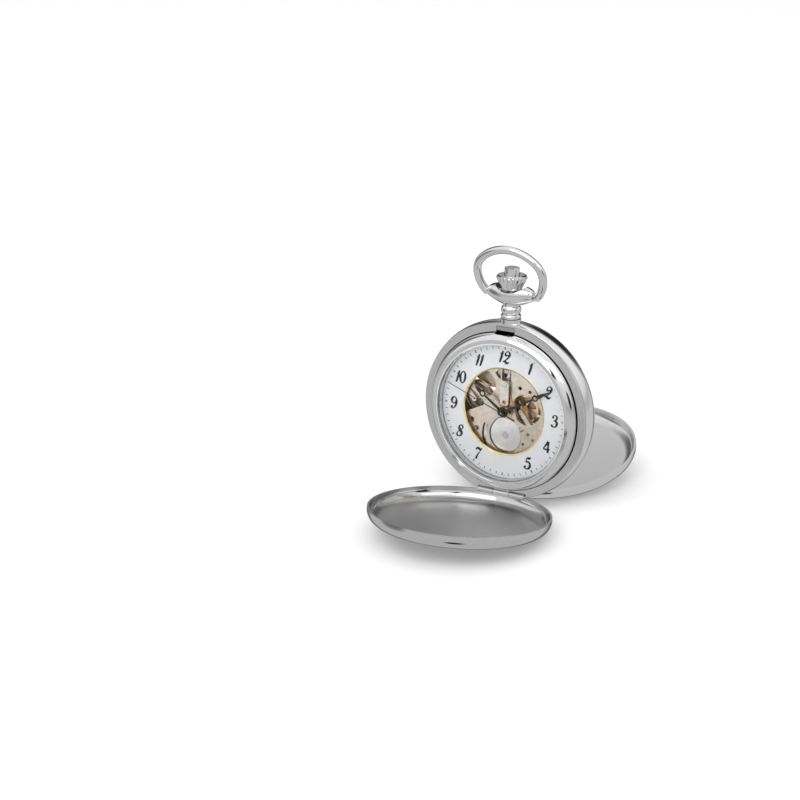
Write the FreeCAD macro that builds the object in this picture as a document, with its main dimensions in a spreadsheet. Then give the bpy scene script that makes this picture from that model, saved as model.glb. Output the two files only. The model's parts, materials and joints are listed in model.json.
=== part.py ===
import FreeCAD, Part
import math
import os
import re

import Sketcher

# Pocket watch with two hinged covers, standing open on its covers.
#
# The pieces are drawn in the watch's own frame, in millimetres: +X towards 3 o'clock, +Y towards 12 o'clock
# and +Z out of the dial, with the origin at the centre of the case. Placements at the end open the covers
# and stand the watch up, so that +Z points up, -Y is the dial side and the origin is on the surface below.

DIMENSIONS = [
    # case band
    ("case_radius", 25.0),
    ("case_half", 3.0),
    ("rim_step", 0.6),
    ("band_bulge", 0.4),
    ("bezel_inset", 2.95),
    ("seat_width", 0.75),
    ("seat_depth", 0.8),
    ("bezel_gap", 0.25),
    ("channel_wall", 1.7),
    ("channel_cover", 1.8),
    ("setting_hole_radius", 0.25),
    ("setting_hole_angle", 4.0),
    # bezels and crystals
    ("bezel_height", 2.5),
    ("bezel_rim", 2.45),
    ("ledge_width", 0.7),
    ("crystal_ledge", 1.7),
    ("gasket_width", 0.3),
    ("crystal_thickness", 0.9),
    ("crystal_dome", 0.7),
    # covers and hinges
    ("cover_step", 0.5),
    ("cover_wall", 0.6),
    ("cover_gap", 0.1),
    ("cover_lip", 0.6),
    ("shoulder_radius", 3.4),
    ("dome_slope", 2.6),
    ("hinge_inset", 1.1),
    ("knuckle_radius", 0.85),
    ("knuckle_clearance", 0.12),
    ("pin_radius", 0.35),
    ("pin_clearance", 0.05),
    ("centre_knuckle_half", 2.4),
    ("knuckle_end", 7.0),
    ("front_opening", 83.7),
    ("rear_opening", 77.6),
    ("catch_notch_width", 3.4),
    # latch
    ("latch_slot_width", 5.5),
    ("latch_slot_inset", 0.35),
    ("latch_travel", 0.7),
    ("latch_thickness", 1.05),
    ("latch_clearance", 0.1),
    ("spring_thickness", 0.35),
    # pendant, bow and crown
    ("neck_radius", 2.8),
    ("neck_waist", 2.2),
    ("neck_inset", 1.0),
    ("neck_flange", 1.6),
    ("neck_length", 5.5),
    ("neck_bore", 1.3),
    ("lower_bead", 1.3),
    ("upper_bead", 2.3),
    ("bead_bulge", 0.55),
    ("spigot_radius", 2.0),
    ("socket_half_width", 6.65),
    ("socket_radius", 2.95),
    ("socket_end_radius", 1.3),
    ("socket_sag", 0.4),
    ("saddle_radius", 6.5),
    ("saddle_rise", 0.6),
    ("crown_recess_radius", 2.3),
    ("bow_pivot_rise", 2.9),
    ("bow_pivot_radius", 0.5),
    ("bow_pivot_depth", 1.6),
    ("bow_half_width", 9.85),
    ("bow_belly", 5.3),
    ("bow_length", 12.6),
    ("bow_side_radius", 5.6),
    ("bow_wire_radius", 1.1),
    ("bow_end_gap", 0.15),
    ("bow_lean", 12.0),
    ("crown_base_radius", 2.7),
    ("crown_radius", 4.2),
    ("crown_lift", 1.3),
    ("crown_height", 3.0),
    ("crown_shoulder", 0.85),
    ("crown_flutes", 22.0),
    ("flute_radius", 0.48),
    ("button_radius", 2.0),
    ("button_height", 1.95),
    ("stem_radius", 0.5),
    ("stem_end", 7.4),
    ("button_rod_radius", 0.7),
    ("ring_thickness", 0.35),
    # dial side
    ("dial_margin", 0.9),
    ("dial_aperture", 12.3),
    ("motion_room", 0.85),
    ("dial_thickness", 0.4),
    ("aperture_ring_width", 0.35),
    ("hand_room", 0.55),
    ("hand_gap", 0.24),
    ("hand_thickness", 0.16),
    ("hand_half_width", 0.46),
    ("hand_neck_half_width", 0.27),
    ("hour_angle", 305.0),
    ("minute_angle", 60.0),
    ("seconds_angle", 290.0),
    ("hour_length", 10.6),
    ("hour_eye", 7.6),
    ("minute_length", 16.6),
    ("minute_eye", 11.4),
    ("seconds_length", 17.2),
    ("seconds_tail", 4.4),
    # plates
    ("movement_radius", 18.2),
    ("ring_low", -2.1),
    ("minute_cock_foot", 7.3),
    ("minute_cock_top", 2.6),
    ("plate_low", 0.3),
    ("plate_top", 1.5),
    ("bridge_thickness", 0.8),
    ("bridge_top", -2.2),
    ("pillar_radius", 0.9),
    ("pivot_radius", 0.14),
    ("arbor_radius", 0.2),
    ("jewel_radius", 0.55),
    ("screw_head_radius", 0.75),
    ("screw_head_height", 0.3),
    ("screw_radius", 0.35),
    ("screw_depth", 0.7),
    ("running", 0.04),
    # going train
    ("barrel_distance", 7.1),
    ("barrel_radius", 4.6),
    ("barrel_low", -0.65),
    ("barrel_top", 1.15),
    ("barrel_teeth", 80.0),
    ("centre_pinion_teeth", 10.0),
    ("centre_teeth", 80.0),
    ("centre_wheel_low", -0.95),
    ("third_pinion_teeth", 10.0),
    ("third_distance", 4.5),
    ("third_angle", 5.0),
    ("third_teeth", 75.0),
    ("third_wheel_low", -1.45),
    ("fourth_pinion_teeth", 10.0),
    ("fourth_teeth", 80.0),
    ("fourth_wheel_low", -1.95),
    ("escape_pinion_teeth", 8.0),
    ("escape_distance", 4.4),
    ("escape_angle", 150.0),
    ("escape_teeth", 15.0),
    ("escape_radius", 2.2),
    ("escape_wheel_low", -0.6),
    ("pinion_length", 0.5),
    ("short_pinion_length", 0.4),
    ("rim_teeth_height", 0.3),
    ("barrel_wall", 0.35),
    ("hub_radius", 0.55),
    ("spoked_rim_radius", 3.4),
    ("spoked_hub_radius", 0.8),
    ("centre_hub_radius", 0.9),
    ("centre_arbor_radius", 0.36),
    ("third_collar_radius", 0.45),
    ("escape_collar_radius", 0.3),
    ("escape_arbor_radius", 0.16),
    ("escape_pivot_radius", 0.1),
    ("wheel_thickness", 0.2),
    ("lever_direction", 184.5),
    ("lever_distance", 2.54),
    ("stone_angle", 30.0),
    ("stone_clearance", 0.06),
    ("fork_boss_radius", 0.42),
    ("fork_beam_half_width", 0.1),
    ("fork_arbor_radius", 0.12),
    ("fork_arbor_low", -0.75),
    ("fork_arbor_top", 0.2),
    ("fork_pivot_low", -1.0),
    ("pallet_bridge_low", -0.98),
    ("pallet_bridge_thickness", 0.22),
    ("fine_pivot_radius", 0.08),
    ("balance_distance", 5.98),
    ("balance_radius", 4.6),
    ("balance_low", -1.6),
    ("balance_thickness", 0.4),
    ("balance_rim_width", 0.55),
    ("balance_screws", 12.0),
    ("balance_screw_radius", 0.17),
    ("balance_screw_length", 0.36),
    ("staff_radius", 0.22),
    ("staff_low", -2.0),
    ("staff_pivot_low", -2.7),
    ("front_pivot_top", 0.7),
    ("roller_radius", 0.62),
    ("roller_low", -1.2),
    ("roller_top", -1.0),
    ("impulse_pin_offset", 0.5),
    ("impulse_pin_top", -0.35),
    ("hairspring_inner", 0.6),
    ("hairspring_outer", 2.6),
    ("hairspring_low", -1.92),
    ("hairspring_height", 0.15),
    ("hairspring_strip", 0.08),
    ("collet_low", -1.95),
    ("collet_top", -1.75),
    # motion work
    ("motion_distance", 2.64),
    ("cannon_teeth", 12.0),
    ("minute_wheel_teeth", 36.0),
    ("minute_pinion_teeth", 10.0),
    ("hour_wheel_teeth", 40.0),
    ("cannon_radius", 0.62),
    ("hour_pipe_radius", 1.0),
    ("cannon_gap", 0.1),
    ("minute_wheel_gap", 0.15),
    ("hour_wheel_gap", 0.48),
    ("hour_wheel_thickness", 0.18),
    ("motion_pinion_length", 0.35),
    # winding work
    ("winding_module", 0.2),
    ("winding_low", -3.35),
    ("winding_thickness", 0.3),
    ("crown_wheel_distance", 8.2),
    ("crown_wheel_teeth", 36.0),
    ("transmission_x", 2.506),
    ("transmission_y", 0.603),
    ("transmission_teeth", 44.0),
    ("ratchet_teeth", 37.0),
    ("crown_wheel_pivot", 0.6),
    ("transmission_pivot", 0.7),
    ("contrate_radius", 2.6),
    ("contrate_bore", 2.2),
    ("contrate_top", -1.32),
    ("winding_pinion_start", 10.3),
    ("winding_pinion_teeth", 14.0),
    ("winding_pinion_module", 0.16),
    ("winding_pinion_length", 0.9),
    ("sliding_pinion_start", 8.6),
    ("sliding_pinion_teeth", 12.0),
    ("sliding_sleeve_wall", 0.12),
    ("sliding_pinion_length", 1.3),
]

# Sizes that follow from the ones above, so that neighbours keep fitting when one of those changes.
FOLLOWING = {
    "rim_radius": "case_radius - rim_step",
    "sliding_sleeve_radius": "stem_radius + sliding_sleeve_wall",
    "sliding_pinion_module": "0.26 * stem_radius",
    "cannon_low": "plate_top + cannon_gap",
    "minute_wheel_low": "plate_top + minute_wheel_gap",
    "minute_pinion_low": "minute_wheel_low + wheel_thickness",
    "hour_wheel_low": "plate_top + hour_wheel_gap",
    "band_edge_radius": "case_radius - band_bulge",
    "band_half": "case_half - rim_step",
    "bezel_radius": "case_radius - bezel_inset",
    "case_bore": "bezel_radius - seat_width",
    "crystal_seat": "bezel_radius - bezel_rim",
    "bezel_opening": "crystal_seat - ledge_width",
    "channel_radius": "case_radius - channel_wall",
    "channel_half": "case_half - channel_cover",
    "latch_slot_inner": "bezel_radius - latch_slot_inset",
    "latch_slot_outer": "rim_radius - rim_step",
    "cover_radius": "case_radius - cover_step",
    "hinge_distance": "cover_radius - hinge_inset",
    "hinge_height": "case_half + cover_gap",
    "neck_seat": "case_radius - neck_inset",
    "neck_top": "neck_seat + neck_length",
    "bow_pivot_height": "neck_top + bow_pivot_rise",
    "saddle_floor": "bow_pivot_height + saddle_rise",
    "crown_recess_floor": "saddle_floor - 1.5 * ring_thickness",
    "crown_bottom": "crown_recess_floor + crown_lift",
    "crown_flare": "crown_bottom + crown_height",
    "crown_top": "crown_flare + crown_shoulder",
    "button_top": "crown_top + button_height",
    "bow_widest": "bow_pivot_height + bow_belly",
    "bow_top": "bow_pivot_height + bow_length",
    "dial_radius": "case_bore - dial_margin",
    "dial_low": "plate_top + motion_room",
    "hour_hand_low": "dial_low + dial_thickness + hand_room",
    "minute_hand_low": "hour_hand_low + hand_thickness + hand_gap",
    "seconds_hand_low": "minute_hand_low + hand_thickness + hand_gap",
    "bridge_low": "bridge_top - bridge_thickness",
}

document = FreeCAD.newDocument("pocket_watch")
sheet = document.addObject("Spreadsheet::Sheet", "sizes")
for row, (name, value) in enumerate(DIMENSIONS, start=1):
    sheet.set("A%d" % row, name.replace("_", " "))
    sheet.set("B%d" % row, "%g" % value)
    sheet.setAlias("B%d" % row, name)
document.recompute()

NAMES = re.compile(r"\b(" + "|".join(name for name, value in DIMENSIONS) + r")\b")
FOLLOWING_NAMES = re.compile(r"\b(" + "|".join(FOLLOWING) + r")\b")


def written_out(expression):
    """The expression with every following size replaced by the sizes it follows from."""
    text = str(expression)
    while FOLLOWING_NAMES.search(text):
        text = FOLLOWING_NAMES.sub(lambda found: "(%s)" % FOLLOWING[found.group(1)], text)
    return text


def linked(expression):
    """The expression with every size looked up in the spreadsheet."""
    return NAMES.sub(r"sizes.\1", written_out(expression))


def measure(expression):
    """The value that an expression of the spreadsheet's sizes has now."""
    return float(sheet.evalExpression(written_out(expression)))


def vector(x, y, z):
    """A vector from three expressions."""
    return FreeCAD.Vector(measure(x), measure(y), measure(z))


class Piece:
    """One piece of the watch: a PartDesign body whose sketches are bound to the sizes."""

    def __init__(self, label):
        self.body = document.addObject("PartDesign::Body", label)
        self.body.Label = label
        self.cuts = []

    def origin_plane(self, role):
        return [item for item in self.body.Origin.OriginFeatures if item.Role == role][0]

    def sketch(self, role, loops, level="0"):
        """A sketch on an origin plane, raised by level, with circles and closed outlines."""
        sketch = self.body.newObject("Sketcher::SketchObject", "sketch")
        sketch.AttachmentSupport = [(self.origin_plane(role), "")]
        sketch.MapMode = "FlatFace"
        sketch.setExpression("AttachmentOffset.Base.z", linked(level))
        for loop in loops:
            if loop[0] == "circle":
                self.circle(sketch, *loop[1:])
            else:
                self.outline(sketch, loop)
        return sketch

    def pin_point(self, sketch, geometry, point, x, y):
        """Fixes a point of a sketch at its two distances from the sketch's origin."""
        for kind, distance in (("DistanceX", x), ("DistanceY", y)):
            constraint = Sketcher.Constraint(kind, geometry, point, measure(distance))
            index = sketch.addConstraint(constraint)
            sketch.setExpression("Constraints[%d]" % index, linked(distance))

    def circle(self, sketch, x, y, radius):
        shape = Part.Circle(vector(x, y, 0), FreeCAD.Vector(0, 0, 1), measure(radius))
        index = sketch.addGeometry(shape, False)
        self.pin_point(sketch, index, 3, x, y)
        constraint = sketch.addConstraint(Sketcher.Constraint("Radius", index, measure(radius)))
        sketch.setExpression("Constraints[%d]" % constraint, linked(radius))

    def outline(self, sketch, points):
        """A closed outline. A point with a third value starts an arc of that radius: centre on the left of
        the way to the next point when it is positive, and on the right when it starts with a minus sign."""
        first = sketch.GeometryCount
        count = len(points)
        for index, point in enumerate(points):
            start = vector(point[0], point[1], 0)
            following = points[(index + 1) % count]
            end = vector(following[0], following[1], 0)
            if len(point) == 2:
                sketch.addGeometry(Part.LineSegment(start, end), False)
            else:
                sketch.addGeometry(arc_between(start, end, measure(point[2])), False)
        for index in range(count):
            geometry = first + index
            following = first + (index + 1) % count
            clockwise = len(points[index]) == 3 and measure(points[index][2]) < 0
            next_point = points[(index + 1) % count]
            next_clockwise = len(next_point) == 3 and measure(next_point[2]) < 0
            end_point = 1 if clockwise else 2
            start_point = 2 if next_clockwise else 1
            sketch.addConstraint(
                Sketcher.Constraint("Coincident", geometry, end_point, following, start_point))
        for index, point in enumerate(points):
            geometry = first + index
            clockwise = len(point) == 3 and measure(point[2]) < 0
            self.pin_point(sketch, geometry, 2 if clockwise else 1, point[0], point[1])
            if len(point) == 3:
                radius = "abs(%s)" % point[2]
                constraint = sketch.addConstraint(Sketcher.Constraint("Radius", geometry, measure(radius)))
                sketch.setExpression("Constraints[%d]" % constraint, linked(radius))

    def pad(self, loops, low, height, role="XY_Plane"):
        feature = self.body.newObject("PartDesign::Pad", "pad")
        feature.Profile = self.sketch(role, loops, low)
        feature.setExpression("Length", linked(height))
        return feature

    def bar(self, x1, y1, x2, y2, half_width, low, height):
        """A bar with round ends between two points."""
        ax, ay, bx, by = (measure(value) for value in (x1, y1, x2, y2))
        length = math.hypot(bx - ax, by - ay)
        across_x = "(%.6f) * (%s)" % ((ay - by) / length, half_width)
        across_y = "(%.6f) * (%s)" % ((bx - ax) / length, half_width)
        self.pad([[
            ("%s - %s" % (x1, across_x), "%s - %s" % (y1, across_y)),
            ("%s - %s" % (x2, across_x), "%s - %s" % (y2, across_y)),
            ("%s + %s" % (x2, across_x), "%s + %s" % (y2, across_y)),
            ("%s + %s" % (x1, across_x), "%s + %s" % (y1, across_y)),
        ]], low, height)
        self.pad([("circle", x1, y1, half_width)], low, height)
        self.pad([("circle", x2, y2, half_width)], low, height)

    def cut(self, loops, low, height, role="XY_Plane"):
        """Cuts a pocket that starts on the plane at low and goes up by height."""
        feature = self.body.newObject("PartDesign::Pocket", "pocket")
        feature.Profile = self.sketch(role, loops, low)
        feature.Reversed = True
        feature.setExpression("Length", linked(height))
        self.cuts.append(feature)
        return feature

    def turn(self, points, role="XZ_Plane", axis="V_Axis"):
        """Turns an outline about an axis: by default (radius, height) about the watch's own axis."""
        feature = self.body.newObject("PartDesign::Revolution", "turned")
        sketch = self.sketch(role, [points])
        feature.Profile = sketch
        feature.ReferenceAxis = (sketch, [axis])
        feature.Angle = 360
        return feature

    def groove(self, points, role="XZ_Plane", axis="V_Axis"):
        feature = self.body.newObject("PartDesign::Groove", "groove")
        sketch = self.sketch(role, [points])
        feature.Profile = sketch
        feature.ReferenceAxis = (sketch, [axis])
        feature.Angle = 360
        self.cuts.append(feature)
        return feature

    def loft(self, sections):
        """A smooth body through circles that stand across the X axis: (x, y, radius) for each."""
        sketches = [self.sketch("YZ_Plane", [("circle", y, "0", radius)], x) for x, y, radius in sections]
        feature = self.body.newObject("PartDesign::AdditiveLoft", "loft")
        feature.Profile = sketches[0]
        feature.Sections = sketches[1:]
        return feature

    def ring_of_cuts(self, feature, axis, count):
        """Repeats a cut around one of the body's origin axes."""
        document.recompute()
        pattern = self.body.newObject("PartDesign::PolarPattern", "pattern")
        pattern.Originals = [feature]
        pattern.Axis = ([item for item in self.body.Origin.OriginFeatures if item.Role == axis][0], [""])
        pattern.Angle = 360
        pattern.setExpression("Occurrences", linked(count))
        self.body.Tip = pattern
        return pattern


def arc_between(start, end, radius):
    """The shorter arc from start to end; its centre is on the left of the way when radius is positive."""
    way = end - start
    middle = (start + end) * 0.5
    reach = math.sqrt(max(radius * radius - way.Length ** 2 / 4, 0.0))
    side = 1 if radius > 0 else -1
    centre = middle + FreeCAD.Vector(-way.y, way.x, 0) * (side * reach / way.Length)
    circle = Part.Circle(centre, FreeCAD.Vector(0, 0, 1), abs(radius))
    first, last = (start, end) if radius > 0 else (end, start)
    begin = math.atan2(first.y - centre.y, first.x - centre.x)
    finish = math.atan2(last.y - centre.y, last.x - centre.x)
    return Part.ArcOfCircle(circle, begin, finish if finish > begin else finish + 2 * math.pi)


def box_loop(x_low, x_high, y_low, y_high):
    return [(x_low, y_low), (x_high, y_low), (x_high, y_high), (x_low, y_high)]


def ring_loops(inner, outer, x="0", y="0"):
    return [("circle", x, y, outer), ("circle", x, y, inner)]


pieces = {}
cut_features = []


def finish_piece(piece):
    """Keeps a finished piece under its label."""
    pieces[piece.body.Label] = piece.body
    cut_features.extend(piece.cuts)


def add_shape(label, shape):
    """Keeps a piece whose shape comes from a formula, such as a toothed wheel."""
    feature = document.addObject("Part::Feature", label)
    feature.Label = label
    feature.Shape = shape
    pieces[label] = feature
    return feature


# ---------------------------------------------------------------------------------------------------------
# Case
# ---------------------------------------------------------------------------------------------------------

def make_case_middle():
    """The band: a ring with seats for both bezels, a channel for the springs and one knuckle per hinge."""
    case = Piece("case_middle")
    sagitta = "(case_radius - band_edge_radius)"
    bulge = "((band_half * band_half + %s * %s) / (2 * %s))" % (sagitta, sagitta, sagitta)
    case.turn([
        ("case_bore", "seat_depth - case_half"),
        ("bezel_radius + bezel_gap", "seat_depth - case_half"),
        ("bezel_radius + bezel_gap", "-case_half"),
        ("rim_radius", "-case_half"),
        ("rim_radius", "-band_half"),
        ("band_edge_radius", "-band_half", bulge),
        ("band_edge_radius", "band_half"),
        ("rim_radius", "band_half"),
        ("rim_radius", "case_half"),
        ("bezel_radius + bezel_gap", "case_half"),
        ("bezel_radius + bezel_gap", "case_half - seat_depth"),
        ("case_bore", "case_half - seat_depth"),
    ])
    case.groove([
        ("case_bore - 0.5", "-channel_half"),
        ("channel_radius", "-channel_half"),
        ("channel_radius", "channel_half"),
        ("case_bore - 0.5", "channel_half"),
    ])
    # hinge notches at 6 o'clock, one in each face
    room = "(knuckle_radius + knuckle_clearance)"
    depth = "((cover_radius - hinge_distance) * 1.15 + knuckle_clearance)"
    notch = box_loop("-knuckle_end - 0.4", "knuckle_end + 0.4", "-case_radius - 1",
                     "%s - hinge_distance" % room)
    case.cut([notch], "hinge_height - %s" % depth, "2 * knuckle_radius + 1")
    case.cut([notch], "-hinge_height - knuckle_radius - 1", "1 + knuckle_radius + %s" % depth)
    # case knuckles, with a web back to the band
    for side in ("hinge_height", "-hinge_height"):
        case.pad([("circle", "-hinge_distance", side, "knuckle_radius")], "-centre_knuckle_half",
                 "2 * centre_knuckle_half", "YZ_Plane")
        inward = "-1" if side == "hinge_height" else "1"
        half = "(%s + 0.1) / 2" % depth
        web = box_loop("-hinge_distance - knuckle_radius", "%s - hinge_distance + 0.1" % room,
                       "%s + (%s) * %s - %s" % (side, inward, half, half),
                       "%s + (%s) * %s + %s" % (side, inward, half, half))
        case.pad([web], "-centre_knuckle_half", "2 * centre_knuckle_half", "YZ_Plane")
    for side in ("hinge_height", "-hinge_height"):
        case.cut([("circle", "-hinge_distance", side, "pin_radius")], "-knuckle_end", "2 * knuckle_end",
                 "YZ_Plane")
    # seat and bore for the pendant at 12 o'clock
    case.cut([("circle", "0", "0", "neck_radius")], "-case_radius - 1", "case_radius + 1 - neck_seat",
             "XZ_Plane")
    case.cut([("circle", "0", "0", "spigot_radius")], "-neck_seat - 1", "neck_seat + 1 - latch_slot_outer",
             "XZ_Plane")
    case.cut([("circle", "0", "0", "neck_bore")], "-neck_seat", "neck_seat + 1 - case_bore", "XZ_Plane")
    # latch slot in the front face
    case.cut([box_loop("-latch_slot_width / 2", "latch_slot_width / 2", "latch_slot_inner",
                       "latch_slot_outer")], "0", "case_half + 1")
    # small setting hole in the front rim, just above 3 o'clock
    reach = "(bezel_radius + bezel_gap + 2 * setting_hole_radius)"
    case.cut([("circle", "%s * cos(setting_hole_angle)" % reach, "%s * sin(setting_hole_angle)" % reach,
               "setting_hole_radius")], "band_half - 0.5 * rim_step", "case_half")
    finish_piece(case)


def make_pendant():
    """The neck with its two beads, and the round-bellied socket that carries the bow."""
    pendant = Piece("pendant")
    beads_start = "(neck_seat + neck_flange)"
    beads_middle = "(%s + lower_bead)" % beads_start
    beads_end = "(%s + upper_bead)" % beads_middle
    lower_radius = "((lower_bead ^ 2 / 4 + bead_bulge ^ 2) / (2 * bead_bulge))"
    upper_radius = "((upper_bead ^ 2 / 4 + bead_bulge ^ 2) / (2 * bead_bulge))"
    neck_end = "(neck_top + (neck_waist - neck_bore) / 2)"
    pendant.turn([
        ("neck_bore", "latch_slot_outer"),
        ("spigot_radius", "latch_slot_outer"),
        ("spigot_radius", "neck_seat"),
        ("neck_radius", "neck_seat"),
        ("neck_radius", beads_start),
        ("neck_waist", beads_start, lower_radius),
        ("neck_waist", beads_middle, upper_radius),
        ("neck_waist", beads_end),
        ("neck_waist", neck_end),
        ("neck_bore", neck_end),
    ], "XY_Plane")
    # the socket is thickest in the middle, where it hangs a little, and rises to the bow's pivots
    pendant.loft([
        ("%s * socket_half_width" % share,
         "bow_pivot_height - socket_sag * %s" % sag,
         "socket_end_radius + (socket_radius - socket_end_radius) * %s" % swell)
        for share, sag, swell in (("-1", "0", "0"), ("-0.82", "-0.3", "0.42"), ("-0.48", "0.3", "0.82"),
                                  ("0", "1", "1"),
                                  ("0.48", "0.3", "0.82"), ("0.82", "-0.3", "0.42"), ("1", "0", "0"))
    ])
    # saddle under the crown, bore for the stem, recess for the pull ring and holes for the bow's pivots
    pendant.cut([("circle", "0", "saddle_floor + saddle_radius", "saddle_radius")], "-2 * socket_radius",
                "4 * socket_radius")
    above = "(bow_pivot_height + 2 * socket_radius)"
    pendant.cut([("circle", "0", "0", "neck_bore")], "-%s" % above, "%s - case_bore" % above, "XZ_Plane")
    pendant.cut([("circle", "0", "0", "crown_recess_radius")], "-%s" % above,
                "%s - crown_recess_floor" % above, "XZ_Plane")
    hole = ("circle", "bow_pivot_height", "0", "bow_pivot_radius + pin_clearance")
    depth = "(bow_pivot_depth + 4 * pin_clearance)"
    pendant.cut([hole], "socket_half_width - %s" % depth, "2 * bow_pivot_depth", "YZ_Plane")
    pendant.cut([hole], "-socket_half_width - 2 * bow_pivot_depth + %s" % depth, "2 * bow_pivot_depth",
                "YZ_Plane")
    finish_piece(pendant)


def make_bow():
    """The oval ring: a wire of tangent arcs with a pivot at each end."""
    low = measure("bow_pivot_height - bow_end_gap")
    widest = measure("bow_widest")
    top = measure("bow_top")
    half = measure("bow_half_width")
    side = measure("bow_side_radius")
    end_x = measure("socket_half_width + bow_end_gap + 0.8 * bow_wire_radius")
    inset = half - end_x
    drop = widest - low
    lower = (drop ** 2 + inset ** 2) / (2 * inset)
    side_x = half - side
    rise = top - widest
    crest = (side_x ** 2 + rise ** 2 - side ** 2) / (2 * (rise - side))
    crest_y = top - crest
    lean = math.atan2(side_x, widest - crest_y)
    joint = FreeCAD.Vector(crest * math.sin(lean), crest_y + crest * math.cos(lean), 0)

    def mirrored(point):
        return FreeCAD.Vector(-point.x, point.y, 0)

    tilt = math.asin(drop / lower)
    end = FreeCAD.Vector(end_x, low, 0)
    mid_lower = FreeCAD.Vector(half - lower + lower * math.cos(tilt / 2),
                               widest - lower * math.sin(tilt / 2), 0)
    wide = FreeCAD.Vector(half, widest, 0)
    turn = (math.pi / 2 - lean) / 2
    mid_side = FreeCAD.Vector(side_x + side * math.cos(turn), widest + side * math.sin(turn), 0)
    points = [(end, mid_lower, wide), (wide, mid_side, joint)]
    edges = [Part.Arc(a, b, c).toShape() for a, b, c in points]
    edges.append(Part.Arc(joint, FreeCAD.Vector(0, top, 0), mirrored(joint)).toShape())
    edges.extend(Part.Arc(mirrored(c), mirrored(b), mirrored(a)).toShape() for a, b, c in reversed(points))
    path = Part.Wire(edges)
    tangent = FreeCAD.Vector(-math.sin(tilt), -math.cos(tilt), 0)
    section = Part.Wire(Part.makeCircle(measure("bow_wire_radius"), end, tangent))
    wire = path.makePipeShell([section], True, False)
    # vertical end faces beside the socket, and round lower ends
    reach = measure("socket_half_width + bow_end_gap")
    for sign in (1, -1):
        ball = Part.makeSphere(measure("bow_wire_radius"), FreeCAD.Vector(sign * end_x, low, 0))
        wire = wire.fuse(ball)
    room = measure("2 * bow_wire_radius")
    gap = Part.makeBox(2 * reach, 2 * room, 2 * room, FreeCAD.Vector(-reach, low - room, -room))
    wire = wire.cut(gap)
    for sign in (1, -1):
        start = sign * measure("socket_half_width - bow_pivot_depth")
        base = FreeCAD.Vector(start, measure("bow_pivot_height"), 0)
        length = abs(sign * end_x - start)
        pivot = Part.makeCylinder(measure("bow_pivot_radius"), length, base, FreeCAD.Vector(sign, 0, 0))
        wire = wire.fuse(pivot)
    add_shape("bow", wire.removeSplitter())


def make_crown():
    """The fluted winding crown, hollow for the release button."""
    crown = Piece("crown")
    crown.turn([
        ("button_rod_radius + 0.1", "crown_bottom"),
        ("crown_base_radius", "crown_bottom"),
        ("crown_radius", "crown_flare", "crown_shoulder * 1.05"),
        ("crown_radius - crown_shoulder", "crown_top"),
        ("button_radius + 0.1", "crown_top"),
        ("button_radius + 0.1", "crown_flare - 0.9"),
        ("button_rod_radius + 0.1", "crown_flare - 0.9"),
    ], "XY_Plane")
    reach = "(crown_radius + 0.12)"
    flute = crown.cut([("circle", reach, "0", "flute_radius")], "-crown_top - 0.5",
                      "crown_top - crown_bottom + 0.3", "XZ_Plane")
    crown.ring_of_cuts(flute, "Y_Axis", "crown_flutes")
    finish_piece(crown)


def make_stem():
    """The winding stem: a sleeve in the neck, then a thin shaft into the movement."""
    stem = Piece("winding_stem")
    stem.turn([
        ("button_rod_radius + 0.1", "crown_bottom"),
        ("neck_bore - 0.1", "crown_bottom"),
        ("neck_bore - 0.1", "latch_slot_outer + 0.5"),
        ("stem_radius", "latch_slot_outer + 0.1"),
        ("stem_radius", "stem_end"),
        ("0", "stem_end"),
        ("0", "latch_slot_outer + 0.4"),
        ("button_rod_radius + 0.1", "latch_slot_outer + 0.9"),
    ], "XY_Plane")
    finish_piece(stem)


def make_pull_ring():
    """The split ring in the neck that holds the crown in or out when it is pulled."""
    ring = Piece("pull_ring")
    ring.pad([("circle", "0", "0", "crown_recess_radius - 0.15"), ("circle", "0", "0", "neck_bore")],
             "-crown_recess_floor - 0.1 - ring_thickness", "ring_thickness", "XZ_Plane")
    ring.cut([box_loop("-ring_thickness", "ring_thickness", "stem_radius", "neck_radius")],
             "-crown_recess_floor - 1", "2", "XZ_Plane")
    finish_piece(ring)


def make_button():
    """The release button: a cap in the crown and a rod through the stem's sleeve."""
    button = Piece("release_button")
    button.turn([
        ("0", "latch_slot_outer + 1 + latch_travel"),
        ("button_rod_radius", "latch_slot_outer + 1 + latch_travel"),
        ("button_rod_radius", "crown_flare + latch_travel - 0.6"),
        ("button_radius", "crown_flare + latch_travel - 0.6"),
        ("button_radius", "button_top - 0.15"),
        ("button_radius - 0.15", "button_top"),
        ("0", "button_top"),
    ], "XY_Plane")
    finish_piece(button)


def make_latch():
    """The sliding latch whose nose stands in the slot at 12 o'clock."""
    latch = Piece("front_latch")
    outer = "(latch_slot_outer - latch_clearance)"
    half = "(latch_slot_width / 2 - latch_clearance)"
    low = "(channel_half - latch_clearance)"
    latch.pad([box_loop("-%s" % half, half, "%s - latch_thickness" % outer, outer)], low,
              "case_half - %s" % low)
    finish_piece(latch)


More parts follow.
